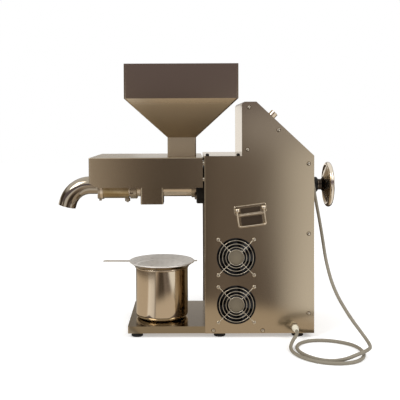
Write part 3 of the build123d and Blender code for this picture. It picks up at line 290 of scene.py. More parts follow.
def brushed_sheet(name, along, colour, roughness, grain, dull_below=None):
    """Brushed 304 stainless sheet: fine straight lines one way and slow waves from the rolling.

    Below a height it may be duller, as where a welded funnel was blasted clean.
    """
    material, tree, shader, place = start_finish(name, colour, roughness, 1.0)
    scale = [1 / grain] * 3
    scale["XYZ".index(along)] = 1 / (grain * 60)
    lines = add_node(tree, "ShaderNodeMapping", inputs={"Vector": place, "Scale": scale})
    brushed = {"Vector": lines.outputs[0], "Scale": 1.0, "Detail": 3.0, "Roughness": 0.65}
    grain_noise = add_node(tree, "ShaderNodeTexNoise", inputs=brushed).outputs[0]
    # Rolled sheet waves over about 150 mm by a few hundredths of a millimetre
    wave = add_node(
        tree, "ShaderNodeTexNoise", inputs={"Vector": place, "Scale": 1 / 0.15, "Detail": 1.0}
    ).outputs[0]
    vary(tree, shader, grain_noise, colour, 0.02, roughness, 0.02)
    if dull_below:
        height = add_node(tree, "ShaderNodeSeparateXYZ", inputs={0: place}).outputs[2]
        fall = {"Value": height, "From Min": dull_below, "From Max": dull_below - 0.03,
                "To Min": roughness, "To Max": roughness + 0.32}
        dulled = add_node(tree, "ShaderNodeMapRange", inputs=fall)
        tree.links.new(dulled.outputs[0], shader.inputs["Roughness"])
    waved = add_node(
        tree, "ShaderNodeBump", inputs={"Height": wave, "Strength": 0.25, "Distance": 0.0005}
    )
    cut = {"Height": grain_noise, "Strength": 0.012, "Distance": 0.00002, "Normal": waved.outputs[0]}
    normal = add_node(tree, "ShaderNodeBump", inputs=cut)
    tree.links.new(normal.outputs[0], shader.inputs["Normal"])
    return material


def polished_steel(name, colour, roughness, wave_size=0.05):
    """Polished stainless: a clear reflection, a little uneven, with faint wipe marks."""
    material, tree, shader, place = start_finish(name, colour, roughness, 1.0)
    smear = {"Vector": place, "Scale": 1 / 0.012, "Detail": 4.0, "Distortion": 0.6}
    wiped = add_node(tree, "ShaderNodeTexNoise", inputs=smear).outputs[0]
    vary(tree, shader, wiped, colour, 0.03, roughness, 0.03)
    wave = add_node(
        tree, "ShaderNodeTexNoise", inputs={"Vector": place, "Scale": 1 / wave_size}
    ).outputs[0]
    uneven = {"Height": wave, "Strength": 0.2, "Distance": 0.0004}
    normal = add_node(tree, "ShaderNodeBump", inputs=uneven)
    tree.links.new(normal.outputs[0], shader.inputs["Normal"])
    return material


def turned_steel(name, colour, roughness, axis_y, axis_z, groove=0.0008):
    """Lathe-turned steel: rings about the work's own axis along X, drawn coarser than the cut."""
    material, tree, shader, place = start_finish(name, colour, roughness, 1.0)
    centred = {"Vector": place, "Location": (0.0, -axis_y, -axis_z)}
    on_axis = add_node(tree, "ShaderNodeMapping", inputs=centred)
    rings = add_node(
        tree,
        "ShaderNodeTexWave",
        {"wave_type": "RINGS", "rings_direction": "X"},
        {"Vector": on_axis.outputs[0], "Scale": 1 / (groove * 20), "Distortion": 0.4},
    ).outputs["Fac"]
    vary(tree, shader, rings, colour, 0.06, roughness, 0.05, (0.15, 0.00005))
    return material


def sand_cast(name, colour, roughness, metallic, grain):
    """Cast metal left as it came from the sand: a coarse even grain."""
    material, tree, shader, place = start_finish(name, colour, roughness, metallic)
    sand = add_node(
        tree, "ShaderNodeTexNoise", inputs={"Vector": place, "Scale": 1 / grain, "Detail": 5.0}
    ).outputs[0]
    vary(tree, shader, sand, colour, 0.15, roughness, 0.08, (0.5, 0.0003))
    return material


def moulded(name, colour, roughness, texture=0.0009, depth=0.00006, coat=0.0):
    """Moulded plastic or rubber with the fine spark texture of its mould."""
    material, tree, shader, place = start_finish(name, colour, roughness)
    shader.inputs["IOR"].default_value = 1.48
    shader.inputs["Coat Weight"].default_value = coat
    spark = add_node(
        tree, "ShaderNodeTexNoise", inputs={"Vector": place, "Scale": 1 / texture, "Detail": 3.0}
    ).outputs[0]
    vary(tree, shader, spark, colour, 0.10, roughness, 0.06, (0.3, depth))
    return material


def heat_tinted(name, steel, tint, roughness):
    """A heater's steel jacket: straw and brown tints where it has been hot."""
    material, tree, shader, place = start_finish(name, steel, roughness, 1.0)
    cloud = add_node(
        tree, "ShaderNodeTexNoise", inputs={"Vector": place, "Scale": 1 / 0.03, "Detail": 3.0}
    ).outputs[0]
    spread = {"Value": cloud, "From Min": 0.35, "From Max": 0.65}
    clear = add_node(tree, "ShaderNodeMapRange", inputs=spread).outputs[0]
    tone = add_node(
        tree,
        "ShaderNodeMix",
        {"data_type": "RGBA"},
        {0: clear, 6: (*steel, 1.0), 7: (*tint, 1.0)},
    )
    tree.links.new(tone.outputs[2], shader.inputs["Base Color"])
    dents = {"Height": cloud, "Strength": 0.3, "Distance": 0.0004}
    normal = add_node(tree, "ShaderNodeBump", inputs=dents)
    tree.links.new(normal.outputs[0], shader.inputs["Normal"])
    return material


def wire_cloth(name, colour, pitch):
    """Plain-woven stainless wire cloth, its weave drawn coarser than the real 0.2 mm."""
    material, tree, shader, place = start_finish(name, colour, 0.5, 0.25)
    waves = []
    for direction in ("X", "Y"):
        wave = {"Vector": place, "Scale": 1 / (pitch * 20), "Distortion": 0.0}
        bands = {"wave_type": "BANDS", "bands_direction": direction}
        waves.append(add_node(tree, "ShaderNodeTexWave", bands, wave).outputs["Fac"])
    weave = add_node(
        tree, "ShaderNodeMath", {"operation": "MAXIMUM"}, {0: waves[0], 1: waves[1]}
    ).outputs[0]
    vary(tree, shader, weave, colour, 0.04, 0.5, 0.05, (0.5, 0.0002))
    return material


def parted(material, axis, beyond, edge, colour, metallic):
    """Gives a finish another colour and metal beyond an edge along one axis."""
    tree = material.node_tree
    shader = next(node for node in tree.nodes if node.type == "BSDF_PRINCIPLED")
    place = add_node(tree, "ShaderNodeTexCoord").outputs["Object"]
    value = add_node(tree, "ShaderNodeSeparateXYZ", inputs={0: place}).outputs["XYZ".index(axis)]
    past = add_node(tree, "ShaderNodeMath", {"operation": beyond}, {0: value, 1: edge}).outputs[0]
    first = shader.inputs["Base Color"].links[0].from_socket
    tone = {0: past, 6: first, 7: (*colour, 1.0)}
    mixed = add_node(tree, "ShaderNodeMix", {"data_type": "RGBA"}, tone)
    tree.links.new(mixed.outputs[2], shader.inputs["Base Color"])
    ends = {"Value": past, "To Min": shader.inputs["Metallic"].default_value, "To Max": metallic}
    metal = add_node(tree, "ShaderNodeMapRange", inputs=ends)
    tree.links.new(metal.outputs[0], shader.inputs["Metallic"])
    return material


def lit_segments(name, colour):
    """Lit LED bars behind tinted film: a soft glow in one colour."""
    unlit = shaded(colour, 0.5)[:3]
    material, tree, shader, place = start_finish(name, unlit, 0.35)
    shader.inputs["Emission Color"].default_value = (*colour, 1.0)
    shader.inputs["Emission Strength"].default_value = 0.9
    film = add_node(
        tree, "ShaderNodeTexNoise", inputs={"Vector": place, "Scale": 1 / 0.002}
    ).outputs[0]
    vary(tree, shader, film, unlit, 0.08, 0.35, 0.04)
    return material


# Making and finishing pieces

# Vertices nearer than this, in metres, are one
join_distance = 1e-7


def new_object(bm, name, material):
    """Turns a bmesh into an object with one material."""
    mesh = bpy.data.meshes.new(name)
    bm.to_mesh(mesh)
    bm.free()
    piece = bpy.data.objects.new(name, mesh)
    bpy.context.scene.collection.objects.link(piece)
    mesh.materials.append(material)
    return piece


def finish_piece(bm, name, material, body, replaced=(), smooth=0.6):
    """Turns a bmesh into a piece that rides on a body."""
    bmesh.ops.remove_doubles(bm, verts=bm.verts, dist=join_distance)
    bmesh.ops.recalc_face_normals(bm, faces=bm.faces)
    piece = new_object(bm, name, material)
    piece.data.shade_smooth()
    piece.data.set_sharp_from_angle(angle=smooth)
    if replaced:
        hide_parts(*replaced)
    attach(piece, body)


def spun(bm, profile, segments, centre=(0.0, 0.0, 0.0)):
    """A closed profile of (radius, height) points spun about a vertical line through a centre."""
    middle = Vector(centre)
    ring = [bm.verts.new(middle + Vector((radius, 0.0, height))) for radius, height in profile]
    edges = [bm.edges.new((a, b)) for a, b in zip(ring, ring[1:])]
    if profile[0][0] > 0:
        edges.append(bm.edges.new((ring[-1], ring[0])))
    bmesh.ops.spin(
        bm,
        geom=ring + edges,
        cent=middle,
        axis=(0.0, 0.0, 1.0),
        angle=2 * math.pi,
        steps=segments,
        use_merge=True,
    )
    bmesh.ops.remove_doubles(bm, verts=bm.verts, dist=join_distance)


def placed(bm, matrix, make, *details):
    """Makes one shape in a bmesh and moves that shape alone by a matrix."""
    old = set(bm.verts)
    make(bm, *details)
    fresh = [vert for vert in bm.verts if vert not in old]
    bmesh.ops.transform(bm, matrix=matrix, verts=fresh)


def block(bm, size, centre, matrix=Matrix()):
    """A box of a size about a centre, then moved by a matrix."""
    made = bmesh.ops.create_cube(bm, size=1.0)["verts"]
    bmesh.ops.scale(bm, vec=size, verts=made)
    bmesh.ops.translate(bm, vec=centre, verts=made)
    bmesh.ops.transform(bm, matrix=matrix, verts=made)
    return made


def slope_matrix(x, y, z=0.0):
    """Places a piece made flat on XY onto the sloping panel, at x along it and y across it."""
    along = Vector((slope_foot[0] - peak[0], 0.0, slope_foot[1] - peak[1])).normalized()
    across = Vector((0.0, 1.0, 0.0))
    out = along.cross(across)
    middle = Vector(((peak[0] + slope_foot[0]) / 2, 0.0, (peak[1] + slope_foot[1]) / 2))
    turn = Matrix((along, across, out)).transposed().to_4x4()
    return Matrix.Translation(middle) @ turn @ Matrix.Translation((x, y, z))


# Cord route, as in the part's source, in metres
cord_floor = 0.0034
cord_exit = (0.2015, -0.125, 0.0209)
cord_route = [
    cord_exit,
    (0.2015, -0.140, 0.0209),
    (0.187, -0.158, 0.011),
    (0.1795, -0.182, cord_floor),
    (0.1905, -0.220, cord_floor),
    (0.218, -0.248, cord_floor),
    (0.254, -0.2585, cord_floor),
    (0.288, -0.2505, cord_floor),
    (0.309, -0.225, cord_floor),
    (0.315, -0.190, cord_floor),
    (0.307, -0.159, cord_floor),
    (0.284, -0.138, cord_floor),
    (0.253, -0.127, cord_floor),
    (0.224, -0.130, cord_floor),
    (0.203, -0.146, cord_floor),
    (0.1925, -0.172, cord_floor),
    (0.197, -0.202, cord_floor),
    (0.214, -0.229, cord_floor),
    (0.239, -0.245, cord_floor),
    (0.267, -0.247, cord_floor + 0.003),
    (0.294, -0.236, cord_floor + 0.009),
    (0.317, -0.217, cord_floor + 0.010),
    (0.330, -0.193, cord_floor + 0.0085),
    (0.323, -0.166, 0.024),
    (0.301, -0.142, 0.054),
    (0.2775, -0.113, 0.098),
    (0.267, -0.086, 0.148),
    (0.264, -0.063, 0.196),
    (0.260, -0.046, 0.236),
    (0.254, -0.037, 0.276),
    (0.250, -0.035, 0.306),
    (0.2495, -0.016, 0.3254),
    (0.2495, 0.016, 0.3254),
    (0.2495, 0.035, 0.306),
    (0.250, 0.039, 0.270),
    (0.250, 0.045, 0.215),
    (0.250, 0.054, 0.150),
    (0.250, 0.065, 0.095),
    (0.2505, 0.082, 0.046),
    (0.249, 0.106, 0.013),
    (0.228, 0.128, cord_floor),
    (0.196, 0.134, cord_floor),
    (0.164, 0.129, 0.0065),
    (0.134, 0.128, 0.00845),
]


class OILPRESS_OT_camera(bpy.types.Operator):
    """Adds the camera at the photograph's viewing angle"""
    bl_idname = "oilpress.camera"
    bl_label = "Camera"

    def execute(self, context):
        lens = bpy.data.cameras.new("camera")
        lens.lens = 60.45
        lens.sensor_width = 36.0
        lens.shift_x = 0.0263
        lens.shift_y = -0.145
        lens.clip_end = 50.0
        camera = bpy.data.objects.new("camera", lens)
        context.scene.collection.objects.link(camera)
        pitch = Matrix.Rotation(math.radians(camera_pitch), 4, "X")
        roll = Matrix.Rotation(math.radians(camera_roll), 4, "Z")
        camera.matrix_world = Matrix.Translation(camera_place) @ pitch @ roll
        context.scene.camera = camera
        return {"FINISHED"}


class OILPRESS_OT_cord(bpy.types.Operator):
    """Adds the mains cord, lying in loose turns beside the machine"""
    bl_idname = "oilpress.cord"
    bl_label = "Mains cord"

    def execute(self, context):
        settings = context.scene.oil_press.cord
        curve = bpy.data.curves.new("mains_cord", "CURVE")
        curve.dimensions = "3D"
        spline = curve.splines.new("NURBS")
        spline.points.add(len(cord_route) - 1)
        for point, place in zip(spline.points, cord_route):
            point.co = (*place, 1.0)
        spline.order_u = 3
        spline.use_endpoint_u = True
        curve.resolution_u = 10
        curve.bevel_depth = settings.thickness / 2
        curve.bevel_resolution = 5
        curve.use_fill_caps = True
        cord = bpy.data.objects.new("mains_cord", curve)
        context.scene.collection.objects.link(cord)
        # Extruded PVC sheath, matt and a little dusty from lying on the floor
        curve.materials.append(moulded("pvc_cord_sheath", settings.sheath, 0.55, 0.004, 0.0001))
        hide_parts("power_cord")
        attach(cord, "machine")
        return {"FINISHED"}


class OILPRESS_OT_strainer(bpy.types.Operator):
    """Adds the shallow oil strainer with its rolled rim, wire cloth and strap handle"""
    bl_idname = "oilpress.strainer"
    bl_label = "Strainer"

    def execute(self, context):
        settings = context.scene.oil_press.strainer
        low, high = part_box("strainer")
        top = high.z
        tab_length = 0.007
        reach = high.x - tab_length - pot_place[0]
        bead = settings.rim_bead
        seat = top - 0.0095
        profile = [
            (0.0, seat - 0.0120),
            (0.0378, seat - 0.0110),
            (0.0505, seat - 0.0002),
            (0.0570, seat + 0.0002),
            (reach - 0.0012, top - 0.0020),
            (reach + 0.0006, top - 0.0022),
            (reach + 0.0010, top - 0.0010),
            (reach + 0.0004, top),
            (reach - 0.0010, top - 0.0002),
            (0.0568, seat + 0.0010),
            (0.0500, seat + 0.0006),
            (0.0374, seat - 0.0102),
            (0.0, seat - 0.0112),
        ]
        bm = bmesh.new()
        spun(bm, profile, 96, (*pot_place, 0.0))
        cloth = wire_cloth("stainless_wire_cloth", settings.cloth, settings.mesh_pitch)
        finish_piece(bm, "strainer_bowl", cloth, "strainer", ["strainer"])
        bm = bmesh.new()
        cone = [
            (0.0575, seat + 0.0001),
            (reach - 0.0009, top - 0.0022),
            (reach - 0.0009, top - 0.0028),
            (0.0575, seat - 0.0005),
        ]
        spun(bm, cone, 96, (*pot_place, 0.0))
        # The collar under the rim is polished steel in a darker colour than the rim: painted shade on the
        # strainer's underside
        collar = polished_steel("strainer_underside_painted_shade", linear("#8C7F6B"), 0.2)
        finish_piece(bm, "strainer_collar", collar, "strainer")
        bm = bmesh.new()
        rim_ring = [
            (reach + bead * math.cos(a), top - bead + bead * math.sin(a))
            for a in [math.radians(45 * k) for k in range(8)]
        ]
        spun(bm, rim_ring, 96, (*pot_place, 0.0))
        steel = polished_steel("rolled_rim_steel", linear("#EDE8DF"), 0.4)
        strap_end = low.x
        strap_root = pot_place[0] - reach + 0.001
        strap_half = 0.007
        corner = 0.006
        outline = []
        for turn, y in ((90, strap_half - corner), (180, corner - strap_half)):
            for step in range(7):
                a = math.radians(turn + 15 * step)
                outline.append((strap_end + corner + corner * math.cos(a), y + corner * math.sin(a)))
        outline += [(strap_root, -strap_half), (strap_root, strap_half)]
        hole_x = strap_end + 0.010
        hole_radius = 0.003
        hole = [
            (hole_x + hole_radius * math.cos(a), hole_radius * math.sin(a))
            for a in [math.radians(20 * k) for k in range(18)]
        ]
        edges = []
        for loop in (outline, hole):
            verts = [bm.verts.new((x, pot_place[1] + y, top - 0.0020)) for x, y in loop]
            edges += [bm.edges.new((a, b)) for a, b in zip(verts, verts[1:] + verts[:1])]
        filled = bmesh.ops.triangle_fill(bm, edges=edges, use_beauty=True)["geom"]
        faces = [item for item in filled if isinstance(item, bmesh.types.BMFace)]
        made = bmesh.ops.extrude_face_region(bm, geom=faces)["geom"]
        lifted = [item for item in made if isinstance(item, bmesh.types.BMVert)]
        strap_thickness = 0.0015
        bmesh.ops.translate(bm, vec=(0.0, 0.0, strap_thickness), verts=lifted)
        tab_middle = (pot_place[0] + reach + 0.0034, pot_place[1], top - 0.00125)
        block(bm, (tab_length + 0.0005, 0.010, strap_thickness), tab_middle)
        finish_piece(bm, "strainer_rim", steel, "strainer")
        return {"FINISHED"}


def cross_screw(radius, height, shank):
    """One pan screw with a cross recess, its seat at the origin, its head along Z."""
    bm = bmesh.new()
    profile = [
        (0.0, -shank),
        (0.0019, -shank),
        (0.0019, 0.0),
        (radius, 0.0),
        (radius, height * 0.35),
        (radius * 0.88, height * 0.72),
        (radius * 0.55, height * 0.95),
        (0.0, height),
    ]
    spun(bm, profile, 28)
    bmesh.ops.recalc_face_normals(bm, faces=bm.faces)
    head = bpy.data.meshes.new("screw_pattern")
    bm.to_mesh(head)
    bm.free()
    bm = bmesh.new()
    arm = radius * 0.62
    depth = height * 0.9
    for size in ((2 * arm, radius * 0.2, depth), (radius * 0.2, 2 * arm, depth)):
        verts = block(bm, size, (0.0, 0.0, height * 0.55 + depth / 2))
        for vert in verts:
            if vert.co.z < height:
                vert.co.x *= 0.55
                vert.co.y *= 0.55
    cutter_mesh = bpy.data.meshes.new("recess_pattern")
    bmesh.ops.recalc_face_normals(bm, faces=bm.faces)
    bm.to_mesh(cutter_mesh)
    bm.free()
    pattern = bpy.data.objects.new("screw_pattern", head)
    cutter = bpy.data.objects.new("recess_pattern", cutter_mesh)
    for helper in (pattern, cutter):
        bpy.context.scene.collection.objects.link(helper)
    recess = pattern.modifiers.new("recess", "BOOLEAN")
    recess.operation = "DIFFERENCE"
    recess.solver = "EXACT"
    recess.use_self = True
    recess.object = cutter
    graph = bpy.context.evaluated_depsgraph_get()
    made = bpy.data.meshes.new_from_object(pattern.evaluated_get(graph))
    for helper in (pattern, cutter):
        bpy.data.objects.remove(helper)
    return made


def facing(side, place, turn):
    """Turns a piece made along Z to face one side of the machine (-1 near, 1 far) at a place."""
    stand = Matrix.Rotation(math.radians(-90.0 * side), 4, "X")
    return Matrix.Translation(place) @ stand @ Matrix.Rotation(math.radians(turn), 4, "Z")


class OILPRESS_OT_screws(bpy.types.Operator):
    """Adds cross-recessed pan screws on the panels and the fan guards"""
    bl_idname = "oilpress.screws"
    bl_label = "Screws"

    def execute(self, context):
        # Bright zinc on steel: a cool, slightly clouded mirror
        zinc = polished_steel("zinc_plated_steel", linear("#CFC6B4"), 0.22, 0.01)
        inset = 0.011
        low_row = 0.01488
        slope = slope_matrix(-0.008, 0.0, -inset).translation
        panel = [
            (rear_wall - inset, 0.049),
            (rear_wall - inset, 0.209),
            (rear_wall - inset, slope_foot[1] - 0.016),
            (slope.x, slope.z),
            (step_wall + inset, low_top + 0.013),
            (step_wall + 0.014, peak[1] - inset),
            (front_wall + 0.017, low_row),
            (front_wall + 0.1156, low_row),
        ]
        seats = [
            (side, (x, side * half_width, z), 31 * count)
            for side in (-1, 1)
            for count, (x, z) in enumerate(panel)
        ]
        # A stamped washer under each panel screw, dark brown as painted shade, so a dark ring shows round
        # each screw head
        ring_shade = polished_steel("washer_painted_shade", linear("#6E5F4C"), 0.35, 0.01)
        bm = bmesh.new()
        washer = [(0.0020, 0.0), (0.0043, 0.0), (0.0041, 0.0004), (0.0020, 0.0004)]
        for side, place, turn in seats:
            placed(bm, facing(side, place, turn), spun, washer, 28)
        finish_piece(bm, "panel_washers", ring_shade, "machine")
        self.add_screws("panel_screws", seats, zinc, 0.008, "housing_screws")
        eye_top = -half_width - 0.0015
        seats = [
            (-1, (fan_axis + i * fan_screw_half, eye_top, height + j * fan_screw_half),
             20 * i + 35 * j + 15 * count)
            for count, height in enumerate(fan_heights)
            for i in (-1, 1)
            for j in (-1, 1)
        ]
        self.add_screws("fan_guard_screws", seats, zinc, 0.030, "fan_screws")
        return {"FINISHED"}

    def add_screws(self, name, seats, material, shank, replaced):
        screw = cross_screw(0.0032, 0.0021, shank)
        bm = bmesh.new()
        for side, place, turn in seats:
            placed(bm, facing(side, place, turn), bmesh.types.BMesh.from_mesh, screw)
        finish_piece(bm, name, material, "machine", [replaced])


class OILPRESS_OT_fan_discs(bpy.types.Operator):
    """Adds the blank foil discs on the fans' hubs and black discs behind the blades, painted shade for the
    dark inside of the housing
    """
    bl_idname = "oilpress.fan_discs"
    bl_label = "Fan discs and screens"

    def execute(self, context):
        # Matt silver foil sticker, left blank
        foil = moulded("blank_foil_disc", linear("#776C58"), 0.5, 0.003, 0.00003)
        # Open black foam, matt all over
        # Matt black all over: painted shade for the dark inside of the housing behind the fans
        inner_shade = moulded("black_painted_shade", linear("#08080A"), 0.9, 0.002, 0.0002)
        hub_face = -half_width + sheet_thickness + fan_depth / 2 - fan_hub_depth / 2
        sticker = [(0.0, 0.0), (0.0152, 0.0), (0.0152, 0.0002), (0.0148, 0.0003), (0.0, 0.0003)]
        thick = 0.0008
        shade_profile = [(0.0, 0.0), (0.0385, 0.0), (0.0385, thick), (0.0, thick)]
        for name, height in zip(("upper", "lower"), fan_heights):
            bm = bmesh.new()
            placed(bm, facing(-1, (fan_axis, hub_face, height), 0), spun, sticker, 48)
            finish_piece(bm, f"{name}_fan_disc", foil, f"{name}_fan")
            # A black disc behind each fan, painted shade for the housing's dark inside, keeps daylight from
            # the far wall's vents out of sight
            bm = bmesh.new()
            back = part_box(f"{name}_fan_frame")[1].y + thick
            placed(bm, facing(-1, (fan_axis, back, height), 0), spun, shade_profile, 48)
            finish_piece(bm, f"{name}_shade_disc", inner_shade, "machine")
        return {"FINISHED"}


def wire_ring(bm, radius, wire, height, segments=72):
    """A ring of round wire about Z at a height."""
    corners = [math.radians(45 * k) for k in range(8)]
    spun(bm, [(radius + wire * math.cos(a), height + wire * math.sin(a)) for a in corners], segments)


def straight_wire(bm, length, wire, matrix):
    """A straight round wire along X about its middle."""
    made = bmesh.ops.create_cone(
        bm, cap_ends=True, segments=10, radius1=wire, radius2=wire, depth=length
    )["verts"]
    bmesh.ops.transform(bm, matrix=matrix @ Matrix.Rotation(math.radians(90), 4, "Y"), verts=made)


class OILPRESS_OT_guards(bpy.types.Operator):
    """Adds the fans' welded guards of round wire"""
    bl_idname = "oilpress.guards"
    bl_label = "Fan guards"

    def execute(self, context):
        # Nickel-plated wire: bright and a little soft
        nickel = polished_steel("nickel_plated_wire", linear("#C4BBA9"), 0.3, 0.01)
        wire = 0.0007
        inner, outer = 0.0150, 0.0342
        eye = fan_screw_half * math.sqrt(2)
        for name, height in zip(("upper", "lower"), fan_heights):
            bm = bmesh.new()
            for radius in (0.0156, 0.0208, 0.0273, outer):
                wire_ring(bm, radius, wire, 3 * wire)
            for quarter in range(4):
                arm = Matrix.Rotation(math.radians(45 + 90 * quarter), 4, "Z")
                length = eye - 0.0024 - inner
                middle = Matrix.Translation((inner + length / 2, 0.0, wire))
                straight_wire(bm, length, wire, arm @ middle)
                placed(bm, arm @ Matrix.Translation((eye, 0.0, 0.0)), wire_ring, 0.0030, wire, wire, 24)
            over_fan = facing(-1, (fan_axis, -half_width, height), 0)
            bmesh.ops.transform(bm, matrix=over_fan, verts=bm.verts)
            finish_piece(bm, f"{name}_wire_guard", nickel, "machine",
                         [f"{name}_fan_guard"], smooth=1.2)
        return {"FINISHED"}


def rounded_frame(bm, size, corner, wire, centre, matrix):
    """A round-wire frame of a width and height, with rounded corners, flat on XY."""
    width, height = size[0] / 2 - corner, size[1] / 2 - corner
    path = []
    for quadrant, (sx, sy) in enumerate(((1, 1), (-1, 1), (-1, -1), (1, -1))):
        for step in range(5):
            a = math.radians(90 * quadrant + 22.5 * step)
            path.append((sx * width + corner * math.cos(a), sy * height + corner * math.sin(a), a))
    rings = []
    for x, y, a in path:
        ring = []
        for k in range(8):
            b = math.radians(45 * k)
            out = wire * math.cos(b)
            spot = (centre[0] + x + out * math.cos(a), centre[1] + y + out * math.sin(a), wire * math.sin(b))
            ring.append(bm.verts.new(matrix @ Vector(spot)))
        rings.append([bm.edges.new((ring[k], ring[(k + 1) % 8])) for k in range(8)])
    for first, second in zip(rings, rings[1:] + rings[:1]):
        bmesh.ops.bridge_loops(bm, edges=first + second)


class OILPRESS_OT_handles(bpy.types.Operator):
    """Adds the dark plates in the handles' pressed windows, painted shade for their recesses, and the bright
    rims and rivets of the carrying handles' plates
    """
    bl_idname = "oilpress.handles"
    bl_label = "Handle plates"

    def execute(self, context):
        # Dark plates laid in the pressed windows: painted shade for the shadowed recesses under the bail
        dark = sand_cast("handle_window_painted_shade", linear("#4A3D30"), 0.5, 0.7, 0.002)
        rim = polished_steel("pressed_rim_chrome", linear("#DCD0BC"), 0.22, 0.02)
        dome = [
            (0.0, -0.002),
            (0.0041, -0.002),
            (0.0041, 0.0),
            (0.0034, 0.0014),
            (0.0019, 0.0023),
            (0.0, 0.0026),
        ]
        for side, name in ((-1, "near"), (1, "far")):
            turn = Matrix.Rotation(math.radians(90), 4, "X")
            if side > 0:
                turn = Matrix.Rotation(math.radians(180), 4, "Z") @ turn
            tilt = Matrix.Rotation(math.radians(handle_tilt * -side), 4, "Z")
            spot = Matrix.Translation((handle_place[0], side * half_width, handle_place[1]))
            place = spot @ turn @ tilt
            bm = bmesh.new()
            frames = bmesh.new()
            for centre, size in (((0.0, -0.0095), (0.042, 0.017)), ((0.0, 0.0115), (0.039, 0.010))):
                verts = block(bm, (size[0] - 0.0002, size[1] - 0.0002, 0.0004), (*centre, 0.0012))
                edges = list({e for v in verts for e in v.link_edges
                              if abs(e.verts[0].co.z - e.verts[1].co.z) > 1e-6})
                bmesh.ops.bevel(
                    bm, geom=edges, offset=0.0019, segments=4, affect="EDGES", profile=0.5, material=-1
                )
            plate_face = Matrix.Translation((0.0, 0.0, 0.0020))
            rounded_frame(frames, (0.064, 0.0165), 0.004, 0.0007, (0.0, 0.013), place @ plate_face)
            for across in (-0.0265, 0.0265):
                placed(frames, place @ Matrix.Translation((across, 0.014, 0.0088)), spun, dome, 24)
            bmesh.ops.transform(bm, matrix=place, verts=bm.verts)
            finish_piece(bm, f"{name}_handle_shade_plates", dark, "machine")
            finish_piece(frames, f"{name}_handle_rims", rim, "machine", smooth=1.2)
        return {"FINISHED"}


# Bars of a seven-bar figure: top, upper left, upper right, middle, lower left, lower right, bottom
figure_bars = {
    "0": "1110111",
    "1": "0010010",
    "2": "1011101",
    "3": "1011011",
    "4": "0111010",
    "5": "1101011",
    "6": "1101111",
    "7": "1010010",
    "8": "1111111",
    "9": "1111011",
}
bar_places = [
    (0.0, 1.0, False),
    (-0.5, 0.5, True),
    (0.5, 0.5, True),
    (0.0, 0.0, False),
    (-0.5, -0.5, True),
    (0.5, -0.5, True),
    (0.0, -1.0, False),
]


def figures(bm, text, height, centre, matrix):
    """Seven-bar figures in a row along Y, their tops towards -X."""
    half = height / 2
    width = height * 0.5
    pitch = width * 1.45
    for k, letter in enumerate(text):
        across = centre[1] + (k - (len(text) - 1) / 2) * pitch
        for lit, (side, up, tall) in zip(figure_bars[letter], bar_places):
            if lit == "1":
                long, thin = half * 0.84, height * 0.11
                size = (long, thin, 0.0003) if tall else (thin, width * 0.8, 0.0003)
                place = (centre[0] - up * half, across + side * width, 0.00015)
                block(bm, size, place, matrix)


class OILPRESS_OT_controls(bpy.types.Operator):
    """Adds the display, its figures, the key symbols and the knob's pointer on the slope"""
    bl_idname = "oilpress.controls"
    bl_label = "Controls"

    def execute(self, context):
        settings = context.scene.oil_press.display
        x, y = controller_place
        window_face = slope_matrix(x - 0.004, y, 0.0015)
        # Smoked acrylic window: dark, glossy and almost flat
        acrylic = moulded("smoked_acrylic", linear("#0B0A0C"), 0.08, 0.02, 0.00001, coat=1.0)
        bm = bmesh.new()
        block(bm, (0.0236, 0.0756, 0.0006), (0.0, 0.0, 0.0003), window_face)
        finish_piece(bm, "display_window", acrylic, "machine")
        over_window = slope_matrix(x - 0.004, y, 0.0021)
        bm = bmesh.new()
        figures(bm, f"{settings.measured:03d}", 0.012, (0.0, -0.018), over_window)
        finish_piece(bm, "measured_figures", lit_segments("red_led_bars", linear("#FF3A20")),
                     "machine")
        bm = bmesh.new()
        figures(bm, f"{settings.wanted:03d}", 0.012, (0.0, 0.018), over_window)
        finish_piece(bm, "wanted_figures", lit_segments("green_led_bars", linear("#3CE05A")),
                     "machine")
        print_white = moulded("white_key_print", linear("#D8D6CF"), 0.6, 0.002, 0.00001)
        bm = bmesh.new()
        for count, across in enumerate((-0.030, -0.010, 0.010, 0.030)):
            key = slope_matrix(x + 0.015, y + across, 0.0035)
            mark = bmesh.ops.create_circle(bm, cap_ends=True, radius=0.0019, segments=3)["verts"]
            made = bmesh.ops.extrude_face_region(bm, geom=list({f for v in mark for f in v.link_faces}))
            raised = [item for item in made["geom"] if isinstance(item, bmesh.types.BMVert)]
            bmesh.ops.translate(bm, vec=(0.0, 0.0, 0.0002), verts=raised)
            spot = key @ Matrix.Rotation(math.radians(90.0 * count), 4, "Z")
            bmesh.ops.transform(bm, matrix=spot, verts=list(mark) + raised)
        finish_piece(bm, "key_symbols", print_white, "machine")
        pointer = moulded("black_pointer_paint", linear("#141414"), 0.4, 0.002, 0.00001)
        bm = bmesh.new()
        knob = slope_matrix(*knob_place)
        block(bm, (0.0011, 0.0058, 0.0006), (0.0, 0.0050, 0.0124), knob)
        finish_piece(bm, "knob_pointer", pointer, "knob")
        return {"FINISHED"}


